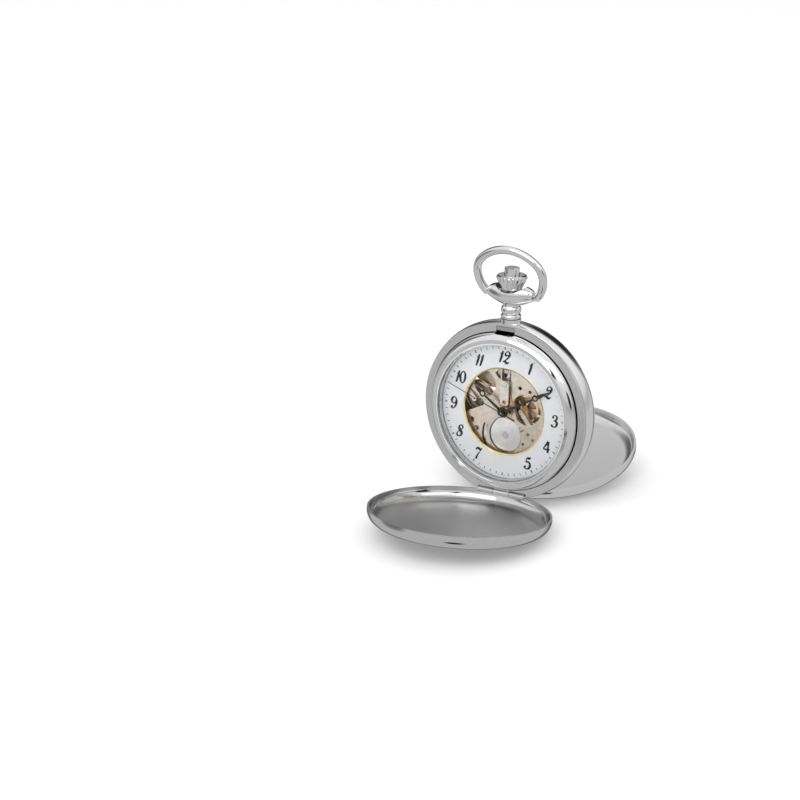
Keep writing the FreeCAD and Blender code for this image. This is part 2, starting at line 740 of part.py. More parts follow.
def make_case_springs():
    """Two curved strips in the band's channel: one holds the latch out, one lifts the front cover."""
    for label, start, end in (("lock_spring", 2.0, 75.0), ("lift_spring", -72.0, -8.0)):
        outer = measure("channel_radius - 0.15")
        inner = outer - measure("spring_thickness")
        half = measure("channel_half - 0.4")
        outline = []
        for radius, first, last in ((outer, start, end), (inner, end, start)):
            middle = math.radians((first + last) / 2)
            ends = [math.radians(first), math.radians(last)]
            points = [FreeCAD.Vector(radius * math.cos(a), radius * math.sin(a), -half)
                      for a in (ends[0], middle, ends[1])]
            outline.append((points, Part.Arc(*points).toShape()))
        (outer_points, outer_arc), (inner_points, inner_arc) = outline
        joins = [Part.makeLine(outer_points[2], inner_points[0]),
                 Part.makeLine(inner_points[2], outer_points[0])]
        face = Part.Face(Part.Wire([outer_arc, joins[0], inner_arc, joins[1]]))
        add_shape(label, face.extrude(FreeCAD.Vector(0, 0, 2 * half)))


def make_bezel(label):
    """A snap-in bezel with a recess for its crystal."""
    bezel = Piece(label)
    seat = "(case_half - seat_depth)"
    top = "(%s + bezel_height + seat_depth)" % seat
    bezel.turn([
        ("dial_radius + 0.15", seat),
        ("bezel_radius", seat),
        ("bezel_radius", "case_half + 0.5", "3.4"),
        ("bezel_radius - 1.5", top),
        ("crystal_seat + 0.15", top),
        ("crystal_seat", "%s - 0.15" % top),
        ("crystal_seat", "case_half + crystal_ledge"),
        ("bezel_opening", "case_half + crystal_ledge"),
        ("bezel_opening", "dial_low + dial_thickness + 0.1"),
        ("dial_radius + 0.15", "dial_low + dial_thickness + 0.1"),
    ])
    if label == "front_bezel":
        bezel.cut([box_loop("-latch_slot_width / 2", "latch_slot_width / 2", "latch_slot_inner",
                            "latch_slot_outer")], "0", "case_half + 3")
    finish_piece(bezel)


def make_crystal(label, dome):
    """A glass disc, domed by the given height."""
    crystal = Piece(label)
    low = "(case_half + crystal_ledge)"
    edge = "(crystal_seat - gasket_width)"
    radius = "((%s * %s + %s * %s) / (2 * %s))" % (edge, edge, dome, dome, dome)
    crystal.turn([
        ("0", low),
        (edge, low),
        (edge, "%s + crystal_thickness" % low, radius),
        ("0", "%s + crystal_thickness + %s" % (low, dome)),
    ])
    finish_piece(crystal)


def make_gasket(label):
    """The ring that seals a crystal in its bezel."""
    gasket = Piece(label)
    low = "(case_half + crystal_ledge)"
    gasket.turn([
        ("crystal_seat - gasket_width", low),
        ("crystal_seat", low),
        ("crystal_seat", "%s + crystal_thickness - 0.1" % low),
        ("crystal_seat - gasket_width", "%s + crystal_thickness - 0.1" % low),
    ])
    finish_piece(gasket)


def make_cover(label):
    """A domed cover with a soft shoulder, two hinge knuckles and a catch notch opposite them."""
    cover = Piece(label)
    base = "(case_half + cover_gap)"
    lip = "(%s + cover_lip)" % base
    centre = "(cover_radius - shoulder_radius)"
    dome_radius = "((%s + shoulder_radius * sin(dome_slope)) / sin(dome_slope))" % centre
    outer_r = "(%s + shoulder_radius * sin(dome_slope))" % centre
    outer_z = "(%s + shoulder_radius * cos(dome_slope))" % lip
    apex = "(%s + %s * (1 - cos(dome_slope)))" % (outer_z, dome_radius)
    inner_shoulder = "(shoulder_radius - cover_wall)"
    inner_r = "(%s + %s * sin(dome_slope))" % (centre, inner_shoulder)
    inner_z = "(%s + %s * cos(dome_slope))" % (lip, inner_shoulder)
    cover.turn([
        ("cover_radius - cover_wall", base),
        ("cover_radius", base),
        ("cover_radius", lip, "shoulder_radius"),
        (outer_r, outer_z, dome_radius),
        ("0", apex),
        ("0", "%s - cover_wall" % apex, "-(%s - cover_wall)" % dome_radius),
        (inner_r, inner_z, "-%s" % inner_shoulder),
        ("cover_radius - cover_wall", lip),
    ])
    # room around the case knuckle
    room = "(knuckle_radius + knuckle_clearance)"
    cover.cut([box_loop("-cover_radius - 1", "%s - hinge_distance" % room, "hinge_height - 1",
                        "hinge_height + %s" % room)], "-centre_knuckle_half - 0.1",
              "2 * centre_knuckle_half + 0.2", "YZ_Plane")
    for start in ("centre_knuckle_half + 0.1", "-knuckle_end"):
        cover.pad([("circle", "-hinge_distance", "hinge_height", "knuckle_radius")], start,
                  "knuckle_end - centre_knuckle_half - 0.1", "YZ_Plane")
    cover.cut([("circle", "-hinge_distance", "hinge_height", "pin_radius + pin_clearance")],
              "-knuckle_end - 0.5", "2 * knuckle_end + 1", "YZ_Plane")
    cover.cut([box_loop("-catch_notch_width / 2", "catch_notch_width / 2", "cover_radius - 1.2",
                        "cover_radius - 0.25")], "%s - 0.5" % base, "0.85")
    finish_piece(cover)


def make_hinge_pins():
    """A straight pin for each hinge, tight in the case knuckle."""
    for label in ("front_hinge_pin", "rear_hinge_pin"):
        pin = document.addObject("Part::Cylinder", label)
        pin.Label = label
        pin.setExpression("Radius", linked("pin_radius"))
        pin.setExpression("Height", linked("2 * knuckle_end"))
        pieces[label] = pin


# ---------------------------------------------------------------------------------------------------------
# Dial and hands
# ---------------------------------------------------------------------------------------------------------

def make_dial():
    """The ring dial and the thin bright ring in its window."""
    dial = Piece("dial")
    dial.pad(ring_loops("dial_aperture", "dial_radius"), "dial_low", "dial_thickness")
    finish_piece(dial)
    ring = Piece("dial_aperture_ring")
    ring.turn([
        ("dial_aperture - aperture_ring_width", "dial_low"),
        ("dial_aperture", "dial_low"),
        ("dial_aperture", "dial_low + dial_thickness + 0.12"),
        ("dial_aperture - aperture_ring_width", "dial_low + dial_thickness - 0.05"),
    ])
    finish_piece(ring)


def make_pomme_hand(label, low, length, eye, bore, boss, eye_radius):
    """A hand with a hollow eye near its tip, drawn pointing at 12 o'clock."""
    hand = Piece(label)
    neck = "(%s - %s)" % (eye, eye_radius)
    beyond = "(%s + %s)" % (eye, eye_radius)
    overlap = "0.12"
    hand.pad([("circle", "0", "0", boss)], low, "hand_thickness")
    hand.pad([[
        ("-hand_half_width", "0"),
        ("hand_half_width", "0"),
        ("hand_neck_half_width", "%s + %s" % (neck, overlap)),
        ("-hand_neck_half_width", "%s + %s" % (neck, overlap)),
    ]], low, "hand_thickness")
    hand.pad(ring_loops("%s * 0.55" % eye_radius, eye_radius, "0", eye), low, "hand_thickness")
    hand.pad([[
        ("-hand_half_width", "%s - %s" % (beyond, overlap)),
        ("hand_half_width", "%s - %s" % (beyond, overlap)),
        ("1.3 * hand_half_width", "%s + 0.5" % beyond),
        ("0", length),
        ("-1.3 * hand_half_width", "%s + 0.5" % beyond),
    ]], low, "hand_thickness")
    hand.cut([("circle", "0", "0", bore)], "%s - 0.5" % low, "hand_thickness + 1")
    finish_piece(hand)


def make_seconds_hand():
    hand = Piece("seconds_hand")
    low = "seconds_hand_low"
    hand.pad([("circle", "0", "0", "0.75")], low, "hand_thickness")
    hand.pad([[("-0.11", "0"), ("0.11", "0"), ("0.06", "seconds_length"), ("-0.06", "seconds_length")]], low,
             "hand_thickness")
    hand.pad([[("-0.2", "-seconds_tail"), ("0.2", "-seconds_tail"), ("0.12", "0"), ("-0.12", "0")]], low,
             "hand_thickness")
    hand.cut([("circle", "0", "0", "pivot_radius")], "%s - 0.5" % low, "hand_thickness + 1")
    finish_piece(hand)


# ---------------------------------------------------------------------------------------------------------
# Toothed wheels
# ---------------------------------------------------------------------------------------------------------

ADDENDUM = 0.9
DEDENDUM = 1.25
TOOTH_SHARE = 0.40


def polar(radius, angle, x=0.0, y=0.0, z=0.0):
    return FreeCAD.Vector(x + radius * math.cos(angle), y + radius * math.sin(angle), z)


def toothed_face(teeth, module, phase, holes):
    """A flat wheel centred on the origin: one tooth points at phase, in radians."""
    pitch = teeth * module / 2
    step = 2 * math.pi / teeth
    profile = [
        (pitch - DEDENDUM * module, 0.31),
        (pitch, TOOTH_SHARE / 2),
        (pitch + 0.6 * ADDENDUM * module, 0.14),
        (pitch + ADDENDUM * module, 0.05),
    ]
    points = []
    for tooth in range(teeth):
        angle = phase + tooth * step
        points.extend(polar(radius, angle - share * step) for radius, share in profile)
        points.extend(polar(radius, angle + share * step) for radius, share in reversed(profile))
    points.append(points[0])
    return Part.makeFace([Part.makePolygon(points)] + holes, "Part::FaceMakerBullseye")


def window(inner, outer, start, end):
    """A ring-sector hole between two spokes; angles in radians."""
    middle = (start + end) / 2
    outer_arc = Part.Arc(polar(outer, start), polar(outer, middle), polar(outer, end)).toShape()
    inner_arc = Part.Arc(polar(inner, end), polar(inner, middle), polar(inner, start)).toShape()
    lines = [Part.makeLine(polar(outer, end), polar(inner, end)),
             Part.makeLine(polar(inner, start), polar(outer, start))]
    return Part.Wire([outer_arc, lines[0], inner_arc, lines[1]])


def crossed_windows(hub, rim, spokes, spoke_width):
    """The windows that leave straight spokes between a hub and a rim."""
    holes = []
    for index in range(spokes):
        start = 2 * math.pi * index / spokes
        end = 2 * math.pi * (index + 1) / spokes
        margin = spoke_width / (2 * hub)
        holes.append(window(hub, rim, start + margin * 0.7, end - margin * 0.7))
    return holes


def wheel(teeth, module, phase, low, thickness, bore=0.0, spokes=0, hub=0.0, rim=0.0):
    holes = []
    if spokes:
        holes = crossed_windows(hub, rim, spokes, 0.35)
    if bore:
        holes.append(Part.Wire(Part.makeCircle(bore)))
    face = toothed_face(teeth, module, phase, holes)
    solid = face.extrude(FreeCAD.Vector(0, 0, thickness))
    solid.translate(FreeCAD.Vector(0, 0, low))
    return solid


def post(radius, low, high, bore=0.0):
    """A round post about the origin's axis, hollow when a bore is given."""
    solid = Part.makeCylinder(radius, high - low, FreeCAD.Vector(0, 0, low))
    if bore:
        solid = solid.cut(Part.makeCylinder(bore, high - low + 2, FreeCAD.Vector(0, 0, low - 1)))
    return solid


def joined(*solids):
    first = solids[0]
    return first.fuse(list(solids[1:])).removeSplitter()


def meshing_phase(centre, phase, teeth, other_centre, other_teeth):
    """The phase that puts the other wheel's teeth in this wheel's gaps."""
    line = math.atan2(other_centre.y - centre.y, other_centre.x - centre.x)
    share = ((line - phase) * teeth / (2 * math.pi)) % 1.0
    return line + math.pi - (0.5 - share) * 2 * math.pi / other_teeth


def place_at(shape, centre):
    moved = shape.copy()
    moved.translate(centre)
    return moved


CENTRE = FreeCAD.Vector(0, 0, 0)
BARREL = vector("0", "-barrel_distance", "0")
THIRD = vector("third_distance * cos(third_angle)", "third_distance * sin(third_angle)", "0")
ESCAPE = vector("escape_distance * cos(escape_angle)", "escape_distance * sin(escape_angle)", "0")
LEVER = ESCAPE + vector("lever_distance * cos(lever_direction)", "lever_distance * sin(lever_direction)", "0")
BALANCE = ESCAPE + vector("balance_distance * cos(lever_direction)",
                          "balance_distance * sin(lever_direction)", "0")
MOTION = vector("0", "motion_distance", "0")
CROWN_WHEEL = vector("0", "crown_wheel_distance", "0")
TRANSMISSION = vector("transmission_x", "transmission_y", "0")


def teeth(name):
    return int(round(measure(name)))


def pair_module(distance, first, second):
    """The module that makes two wheels mesh at a centre distance."""
    return 2 * measure(distance) / (teeth(first) + teeth(second))


def make_going_train():
    """Barrel, centre, third, fourth and escape wheels, each on its own arbor."""
    thickness = measure("wheel_thickness")
    arbor = measure("arbor_radius")
    pivot = measure("pivot_radius")
    plate_low = measure("plate_low")
    front = plate_low + 0.5
    rear = measure("bridge_top") - 0.4
    running = measure("running")

    barrel_module = pair_module("barrel_distance", "barrel_teeth", "centre_pinion_teeth")
    centre_module = pair_module("third_distance", "centre_teeth", "third_pinion_teeth")
    third_module = pair_module("third_distance", "third_teeth", "fourth_pinion_teeth")
    fourth_module = pair_module("escape_distance", "fourth_teeth", "escape_pinion_teeth")

    # barrel: a drum with its toothed rim, hollow for the mainspring
    low, top = measure("barrel_low"), measure("barrel_top")
    radius = measure("barrel_radius")
    rim_low = low + 0.1
    inside = radius - measure("barrel_wall")
    shaft = measure("pillar_radius")
    teeth_ring = wheel(teeth("barrel_teeth"), barrel_module, 0.0, rim_low, measure("rim_teeth_height"),
                       radius - 0.1)
    drum = post(radius, low, top, shaft + running)
    drum = drum.cut(post(inside, low + 0.25, top - 0.3))
    for groove_radius in (0.86 * radius, 0.4 * radius):
        drum = drum.cut(post(groove_radius, top - 0.08, top + 0.1, groove_radius - 0.12))
    add_shape("barrel", place_at(joined(drum, teeth_ring), BARREL))

    # mainspring: a flat spiral between the arbor and the drum wall
    turns = 6
    points = []
    steps = 24 * turns
    start_radius = shaft + 0.12
    growth = (inside - 0.25 - start_radius) / steps
    for index in range(steps + 1):
        points.append(polar(start_radius + growth * index, 2 * math.pi * index / 24))
    inner_edge = points
    outer_edge = [polar(start_radius + growth * index + 0.14, 2 * math.pi * index / 24)
                  for index in range(steps + 1)]
    strip = Part.Face(Part.makePolygon(inner_edge + outer_edge[::-1] + [inner_edge[0]]))
    spring = strip.extrude(FreeCAD.Vector(0, 0, top - low - 0.75))
    spring.translate(FreeCAD.Vector(0, 0, low + 0.35))
    add_shape("mainspring", place_at(spring, BARREL))

    # barrel arbor: hung from the bridge, with a square for the ratchet wheel
    bridge_low = measure("bridge_low")
    winding_low = measure("winding_low")
    arbor_solid = joined(post(shaft, bridge_low - 0.02, top - 0.05),
                         post(shaft * 0.75, winding_low - 0.02, bridge_low))
    slot_length, slot_width, slot_depth = 2.4 * shaft, 0.3 * shaft, 0.25
    slot_corner = FreeCAD.Vector(-slot_length / 2, -slot_width / 2, top - slot_depth)
    slot = Part.makeBox(slot_length, slot_width, slot_depth + 0.05, slot_corner)
    add_shape("barrel_arbor", place_at(arbor_solid.cut(slot), BARREL))

    hub = measure("hub_radius")
    spoked_hub = measure("spoked_hub_radius")
    rim = measure("spoked_rim_radius")
    pinion_length = measure("pinion_length")
    short_pinion = measure("short_pinion_length")

    # centre wheel: pinion and wheel on a hollow arbor that carries the cannon pinion
    level = measure("centre_wheel_low")
    phase = meshing_phase(BARREL, 0.0, teeth("barrel_teeth"), CENTRE, teeth("centre_pinion_teeth"))
    pinion = wheel(teeth("centre_pinion_teeth"), barrel_module, phase, level + 0.3, pinion_length)
    disc = wheel(teeth("centre_teeth"), centre_module, 0.0, level, thickness, 0.0, 5,
                 measure("centre_hub_radius"), rim)
    pipe_top = measure("hour_hand_low") - 0.1
    pipe = post(measure("centre_arbor_radius"), level, pipe_top)
    solid = joined(disc, pinion, pipe, post(hub, level + 0.15, level + 0.45))
    add_shape("centre_wheel", solid.cut(post(arbor + running, level - 0.5, pipe_top + 1)))

    # third wheel
    level = measure("third_wheel_low")
    phase = meshing_phase(CENTRE, 0.0, teeth("centre_teeth"), THIRD, teeth("third_pinion_teeth"))
    pinion = wheel(teeth("third_pinion_teeth"), centre_module, phase, level + 0.4, short_pinion)
    disc = wheel(teeth("third_teeth"), third_module, 0.0, level, thickness, 0.0, 5, spoked_hub, rim)
    collar = post(measure("third_collar_radius"), level, level + 0.45)
    shaft_solid = joined(post(arbor, level - 0.05, plate_low - 0.1), post(pivot, rear, front))
    add_shape("third_wheel", place_at(joined(disc, pinion, collar, shaft_solid), THIRD))

    # fourth wheel: turns once a minute inside the centre arbor and carries the seconds hand
    level = measure("fourth_wheel_low")
    phase = meshing_phase(THIRD, 0.0, teeth("third_teeth"), CENTRE, teeth("fourth_pinion_teeth"))
    pinion = wheel(teeth("fourth_pinion_teeth"), third_module, phase, level + 0.35, pinion_length)
    disc = wheel(teeth("fourth_teeth"), fourth_module, 0.0, level, thickness, 0.0, 5, spoked_hub, rim)
    hand_low = measure("seconds_hand_low")
    shaft_solid = joined(post(arbor, level - 0.05, hand_low - 0.5), post(pivot, rear, hand_low + 0.2))
    add_shape("fourth_wheel", joined(disc, pinion, shaft_solid))

    # escape wheel: pointed club teeth
    phase = meshing_phase(CENTRE, 0.0, teeth("fourth_teeth"), ESCAPE, teeth("escape_pinion_teeth"))
    pinion = wheel(teeth("escape_pinion_teeth"), fourth_module, phase, level - 0.1, short_pinion)
    tip = measure("escape_radius")
    count = teeth("escape_teeth")
    step = 2 * math.pi / count
    lead = math.radians(measure("lever_direction"))
    root = 0.74 * tip
    half_tip = 0.02         # radians
    back_slope = 0.16
    outline = []
    for tooth in range(count):
        angle = lead + tooth * step
        outline.append(polar(root, angle - back_slope))
        outline.append(polar(tip, angle - half_tip))
        outline.append(polar(tip, angle + half_tip))
        outline.append(polar(root, angle + half_tip))
    outline.append(outline[0])
    windows = crossed_windows(hub, tip * 0.6, 4, 0.25)
    face = Part.makeFace([Part.makePolygon(outline)] + windows, "Part::FaceMakerBullseye")
    disc = face.extrude(FreeCAD.Vector(0, 0, thickness))
    escape_low = measure("escape_wheel_low")
    disc.translate(FreeCAD.Vector(0, 0, escape_low))
    shaft_solid = joined(post(measure("escape_arbor_radius"), level - 0.15, plate_low - 0.1),
                         post(measure("escape_pivot_radius"), rear, front),
                         post(measure("escape_collar_radius"), escape_low - 0.1, escape_low + 0.3))
    add_shape("escape_wheel", place_at(joined(disc, pinion, shaft_solid), ESCAPE))


def make_escapement():
    """The pallet fork with its two stones, the balance with its roller and pin, and the hairspring."""
    low = measure("escape_wheel_low")
    thickness = measure("wheel_thickness")
    up = FreeCAD.Vector(0, 0, thickness)
    direction = math.radians(measure("lever_direction"))
    tip = measure("escape_radius")
    distance = measure("lever_distance")

    def placed(shape, centre):
        turned = shape.copy()
        turned.rotate(CENTRE, FreeCAD.Vector(0, 0, 1), math.degrees(direction))
        turned.translate(centre)
        return turned

    def plate_of(points):
        closed = [FreeCAD.Vector(x, y, low) for x, y in points]
        return Part.Face(Part.makePolygon(closed + closed[:1])).extrude(up)

    # drawn with the escape wheel at -distance and the balance on the +x side of the lever's pivot
    stone_angle = math.radians(measure("stone_angle"))
    stone_radius = tip + measure("stone_clearance")
    stone_x = stone_radius * math.cos(stone_angle) - distance
    stone_y = stone_radius * math.sin(stone_angle)
    beam = measure("fork_beam_half_width")
    reach = measure("balance_distance") - distance
    fork_root, slot_root, horn_tip = reach - 1.2, reach - 1.0, reach - 0.82
    parts = [post(measure("fork_boss_radius"), low, low + thickness)]
    parts.append(plate_of([
        (beam, -1.4 * beam),
        (fork_root + beam, -beam),
        (fork_root + beam, beam),
        (beam, 1.4 * beam),
    ]))
    parts.append(plate_of([
        (fork_root, -3.0 * beam),
        (horn_tip, -3.6 * beam),
        (horn_tip, -2.0 * beam),
        (slot_root, -1.4 * beam),
        (slot_root, 1.4 * beam),
        (horn_tip, 2.0 * beam),
        (horn_tip, 3.6 * beam),
        (fork_root, 3.0 * beam),
    ]))
    for side in (1, -1):
        arm = [
            (beam, side * beam),
            (-beam, side * 3.5 * beam),
            (stone_x + 0.35, side * (stone_y + 0.45)),
            (stone_x + 0.02, side * (stone_y + 0.3)),
            (stone_x + 0.14, side * (stone_y + 0.02)),
            (stone_x + 0.3, side * (stone_y + 0.12)),
            (-2.5 * beam, side * beam),
        ]
        parts.append(plate_of(arm if side > 0 else arm[::-1]))
    fine_pivot = measure("fine_pivot_radius")
    pivot_top = measure("front_pivot_top")
    parts.append(post(measure("fork_arbor_radius"), measure("fork_arbor_low"), measure("fork_arbor_top")))
    parts.append(post(fine_pivot, measure("fork_pivot_low"), pivot_top))
    add_shape("pallet_fork", placed(joined(*parts), LEVER))

    # balance wheel: rim, two arms, staff, roller and impulse pin
    radius = measure("balance_radius")
    bottom = measure("balance_low")
    height = measure("balance_thickness")
    rim = post(radius, bottom, bottom + height, radius - measure("balance_rim_width"))
    arms = [Part.makeBox(2 * radius - 0.6, 0.5, height * 0.6,
                         FreeCAD.Vector(0.3 - radius, -0.25, bottom + height * 0.2))]
    screws = []
    screw_count = teeth("balance_screws")
    for index in range(screw_count):
        angle = 2 * math.pi * (index + 0.5) / screw_count
        base = polar(radius - 0.1, angle, 0, 0, bottom + height / 2)
        outward = FreeCAD.Vector(math.cos(angle), math.sin(angle), 0)
        screws.append(Part.makeCylinder(measure("balance_screw_radius"), measure("balance_screw_length"),
                                        base, outward))
    roller_low, roller_top = measure("roller_low"), measure("roller_top")
    staff = joined(post(measure("staff_radius"), measure("staff_low"), measure("fork_arbor_top")),
                   post(fine_pivot, measure("staff_pivot_low"), pivot_top))
    roller = post(measure("roller_radius"), roller_low, roller_top)
    impulse_pin = place_at(post(fine_pivot, (roller_low + roller_top) / 2, measure("impulse_pin_top")),
                           FreeCAD.Vector(-measure("impulse_pin_offset"), 0, 0))
    hub = post(measure("hub_radius"), bottom - 0.1, bottom + height + 0.1)
    add_shape("balance_wheel", placed(joined(rim, *arms, *screws, staff, roller, impulse_pin, hub), BALANCE))

    # hairspring: a thin spiral above the balance
    turns = 8
    steps = 24 * turns
    start, end = measure("hairspring_inner"), measure("hairspring_outer")
    width = measure("hairspring_strip")
    growth = (end - start) / steps
    inner_edge = [polar(start + growth * index, 2 * math.pi * index / 24) for index in range(steps + 1)]
    outer_edge = [polar(start + width + growth * index, 2 * math.pi * index / 24)
                  for index in range(steps + 1)]
    strip = Part.Face(Part.makePolygon(inner_edge + outer_edge[::-1] + [inner_edge[0]]))
    spring = strip.extrude(FreeCAD.Vector(0, 0, measure("hairspring_height")))
    spring.translate(FreeCAD.Vector(0, 0, measure("hairspring_low")))
    collet_top = measure("collet_top")
    collet = post(start + 0.02, measure("collet_low"), collet_top, measure("staff_radius") + 0.05)
    stud = place_at(post(0.2, measure("bridge_top"), collet_top), polar(end + 0.02, 0.0))
    add_shape("hairspring", placed(joined(spring, collet, stud), BALANCE))


def make_motion_work():
    """Cannon pinion, minute wheel and hour wheel: the hour hand turns at a twelfth of the minute hand."""
    running = measure("running")
    first_module = pair_module("motion_distance", "cannon_teeth", "minute_wheel_teeth")
    second_module = pair_module("motion_distance", "minute_pinion_teeth", "hour_wheel_teeth")
    cannon_radius = measure("cannon_radius")
    top = measure("minute_hand_low + hand_thickness")
    bore = measure("centre_arbor_radius")
    length = measure("motion_pinion_length")
    cannon_low = measure("cannon_low")
    pinion = wheel(teeth("cannon_teeth"), first_module, 0.0, cannon_low, length, bore)
    add_shape("cannon_pinion", joined(pinion, post(cannon_radius, cannon_low + 0.3, top, bore)))
    wheel_low = measure("minute_wheel_low")
    pinion_low = measure("minute_pinion_low")
    wheel_phase = meshing_phase(CENTRE, 0.0, teeth("cannon_teeth"), MOTION, teeth("minute_wheel_teeth"))
    disc = wheel(teeth("minute_wheel_teeth"), first_module, wheel_phase, wheel_low, pinion_low - wheel_low,
                 0.0, 4, 0.85, 1.55)
    small = wheel(teeth("minute_pinion_teeth"), second_module, 0.0, pinion_low, length)
    pin = post(measure("pivot_radius"), measure("plate_top - 0.3"), pinion_low + measure("hub_radius"))
    add_shape("minute_wheel", place_at(joined(disc, small, pin), MOTION))
    hour_phase = meshing_phase(MOTION, 0.0, teeth("minute_pinion_teeth"), CENTRE, teeth("hour_wheel_teeth"))
    hour_low = measure("hour_wheel_low")
    disc = wheel(teeth("hour_wheel_teeth"), second_module, hour_phase, hour_low,
                 measure("hour_wheel_thickness"), cannon_radius + running, 4, 1.15, 1.7)
    pipe_top = measure("hour_hand_low + hand_thickness")
    pipe = post(measure("hour_pipe_radius"), hour_low + 0.02, pipe_top, cannon_radius + running)
    add_shape("hour_wheel", joined(disc, pipe))


def make_winding_work():
    """Crown wheel, transmission wheel and ratchet wheel on the bridges, and the pinions on the stem."""
    module = measure("winding_module")
    low = measure("winding_low")
    thickness = measure("winding_thickness")
    running = measure("running")
    bore = measure("crown_wheel_pivot") + running
    ring_radius = measure("contrate_radius")
    web_low = measure("bridge_low") - 0.1
    disc = wheel(teeth("crown_wheel_teeth"), module, 0.0, low, thickness, bore)
    collar = post(ring_radius, web_low, measure("contrate_top"), measure("contrate_bore"))
    web = post(ring_radius, web_low, web_low + 0.25, bore)
    add_shape("crown_wheel", place_at(joined(disc, web, collar), CROWN_WHEEL))
    middle_phase = meshing_phase(CROWN_WHEEL, 0.0, teeth("crown_wheel_teeth"), TRANSMISSION,
                                 teeth("transmission_teeth"))
    disc = wheel(teeth("transmission_teeth"), module, middle_phase, low, thickness,
                 measure("transmission_pivot") + running)
    add_shape("transmission_wheel", place_at(disc, TRANSMISSION))
    last_phase = meshing_phase(TRANSMISSION, middle_phase, teeth("transmission_teeth"), BARREL,
                               teeth("ratchet_teeth"))
    disc = wheel(teeth("ratchet_teeth"), module, last_phase, low, thickness, measure("pillar_radius") * 0.75)
    add_shape("ratchet_wheel", place_at(disc, BARREL))

    def on_stem(solid, start):
        turned = solid.copy()
        turned.rotate(CENTRE, FreeCAD.Vector(1, 0, 0), -90)
        turned.translate(FreeCAD.Vector(0, start, 0))
        return turned

    bore = measure("stem_radius") + running
    pinion = wheel(teeth("winding_pinion_teeth"), measure("winding_pinion_module"), 0.0, 0,
                   measure("winding_pinion_length"), bore)
    add_shape("winding_pinion", on_stem(pinion, measure("winding_pinion_start")))
    length = measure("sliding_pinion_length")
    toothed = wheel(teeth("sliding_pinion_teeth"), measure("sliding_pinion_module"), 0.0, 0, 0.5)
    sleeve = post(measure("sliding_sleeve_radius"), 0.4, length)
    clutch = joined(toothed, sleeve).cut(post(bore, -1, length + 1))
    add_shape("sliding_pinion", on_stem(clutch, measure("sliding_pinion_start")))


# ---------------------------------------------------------------------------------------------------------
# Plates, bridges and small parts
# ---------------------------------------------------------------------------------------------------------

def expression_pair(point):
    """A computed centre as the two expressions that a sketch takes."""
    return "%.6f" % point.x, "%.6f" % point.y


BARREL_XY = ("0", "-barrel_distance")
THIRD_XY = ("third_distance * cos(third_angle)", "third_distance * sin(third_angle)")
ESCAPE_XY = ("escape_distance * cos(escape_angle)", "escape_distance * sin(escape_angle)")
LEVER_XY = ("(%s + lever_distance * cos(lever_direction))" % ESCAPE_XY[0],
            "(%s + lever_distance * sin(lever_direction))" % ESCAPE_XY[1])
BALANCE_XY = ("(%s + balance_distance * cos(lever_direction))" % ESCAPE_XY[0],
              "(%s + balance_distance * sin(lever_direction))" % ESCAPE_XY[1])
BARREL_BRIDGE_FEET = [("-7.6", "-14.4"), ("7.6", "-14.4")]
TRAIN_BRIDGE_FEET = [("11.8", "-6.6"), ("9.6", "10.8"), ("-4.9", "13.6")]
COCK_FOOT = ("-15.0", "5.8")
DIAL_SIDE_SCREWS = [("-9.0", "-9.6"), ("9.6", "-9.6"), ("9.6", "8.4")]
CROWN_WHEEL_XY = ("0", "crown_wheel_distance")
TRANSMISSION_XY = ("transmission_x", "transmission_y")


def make_movement_ring():
    """The holder that centres the movement in the case band, with a passage for the stem."""
    ring = Piece("movement_ring")
    ring.turn([
        ("movement_radius", "ring_low"),
        ("case_bore - 0.1", "ring_low"),
        ("case_bore - 0.1", "case_half - seat_depth - 0.1"),
        ("dial_radius", "case_half - seat_depth - 0.1"),
        ("dial_radius", "dial_low"),
        ("movement_radius", "dial_low"),
    ])
    ring.cut([("circle", "0", "0", "stem_radius + 0.35")], "-case_bore - 1", "case_bore + 1", "XZ_Plane")
    holes = [("circle",) + expression_pair(place) + ("screw_radius + 0.05",) for place in ring_screw_places()]
    ring.cut(holes, "ring_low - 0.1", "screw_depth + 0.2")
    finish_piece(ring)


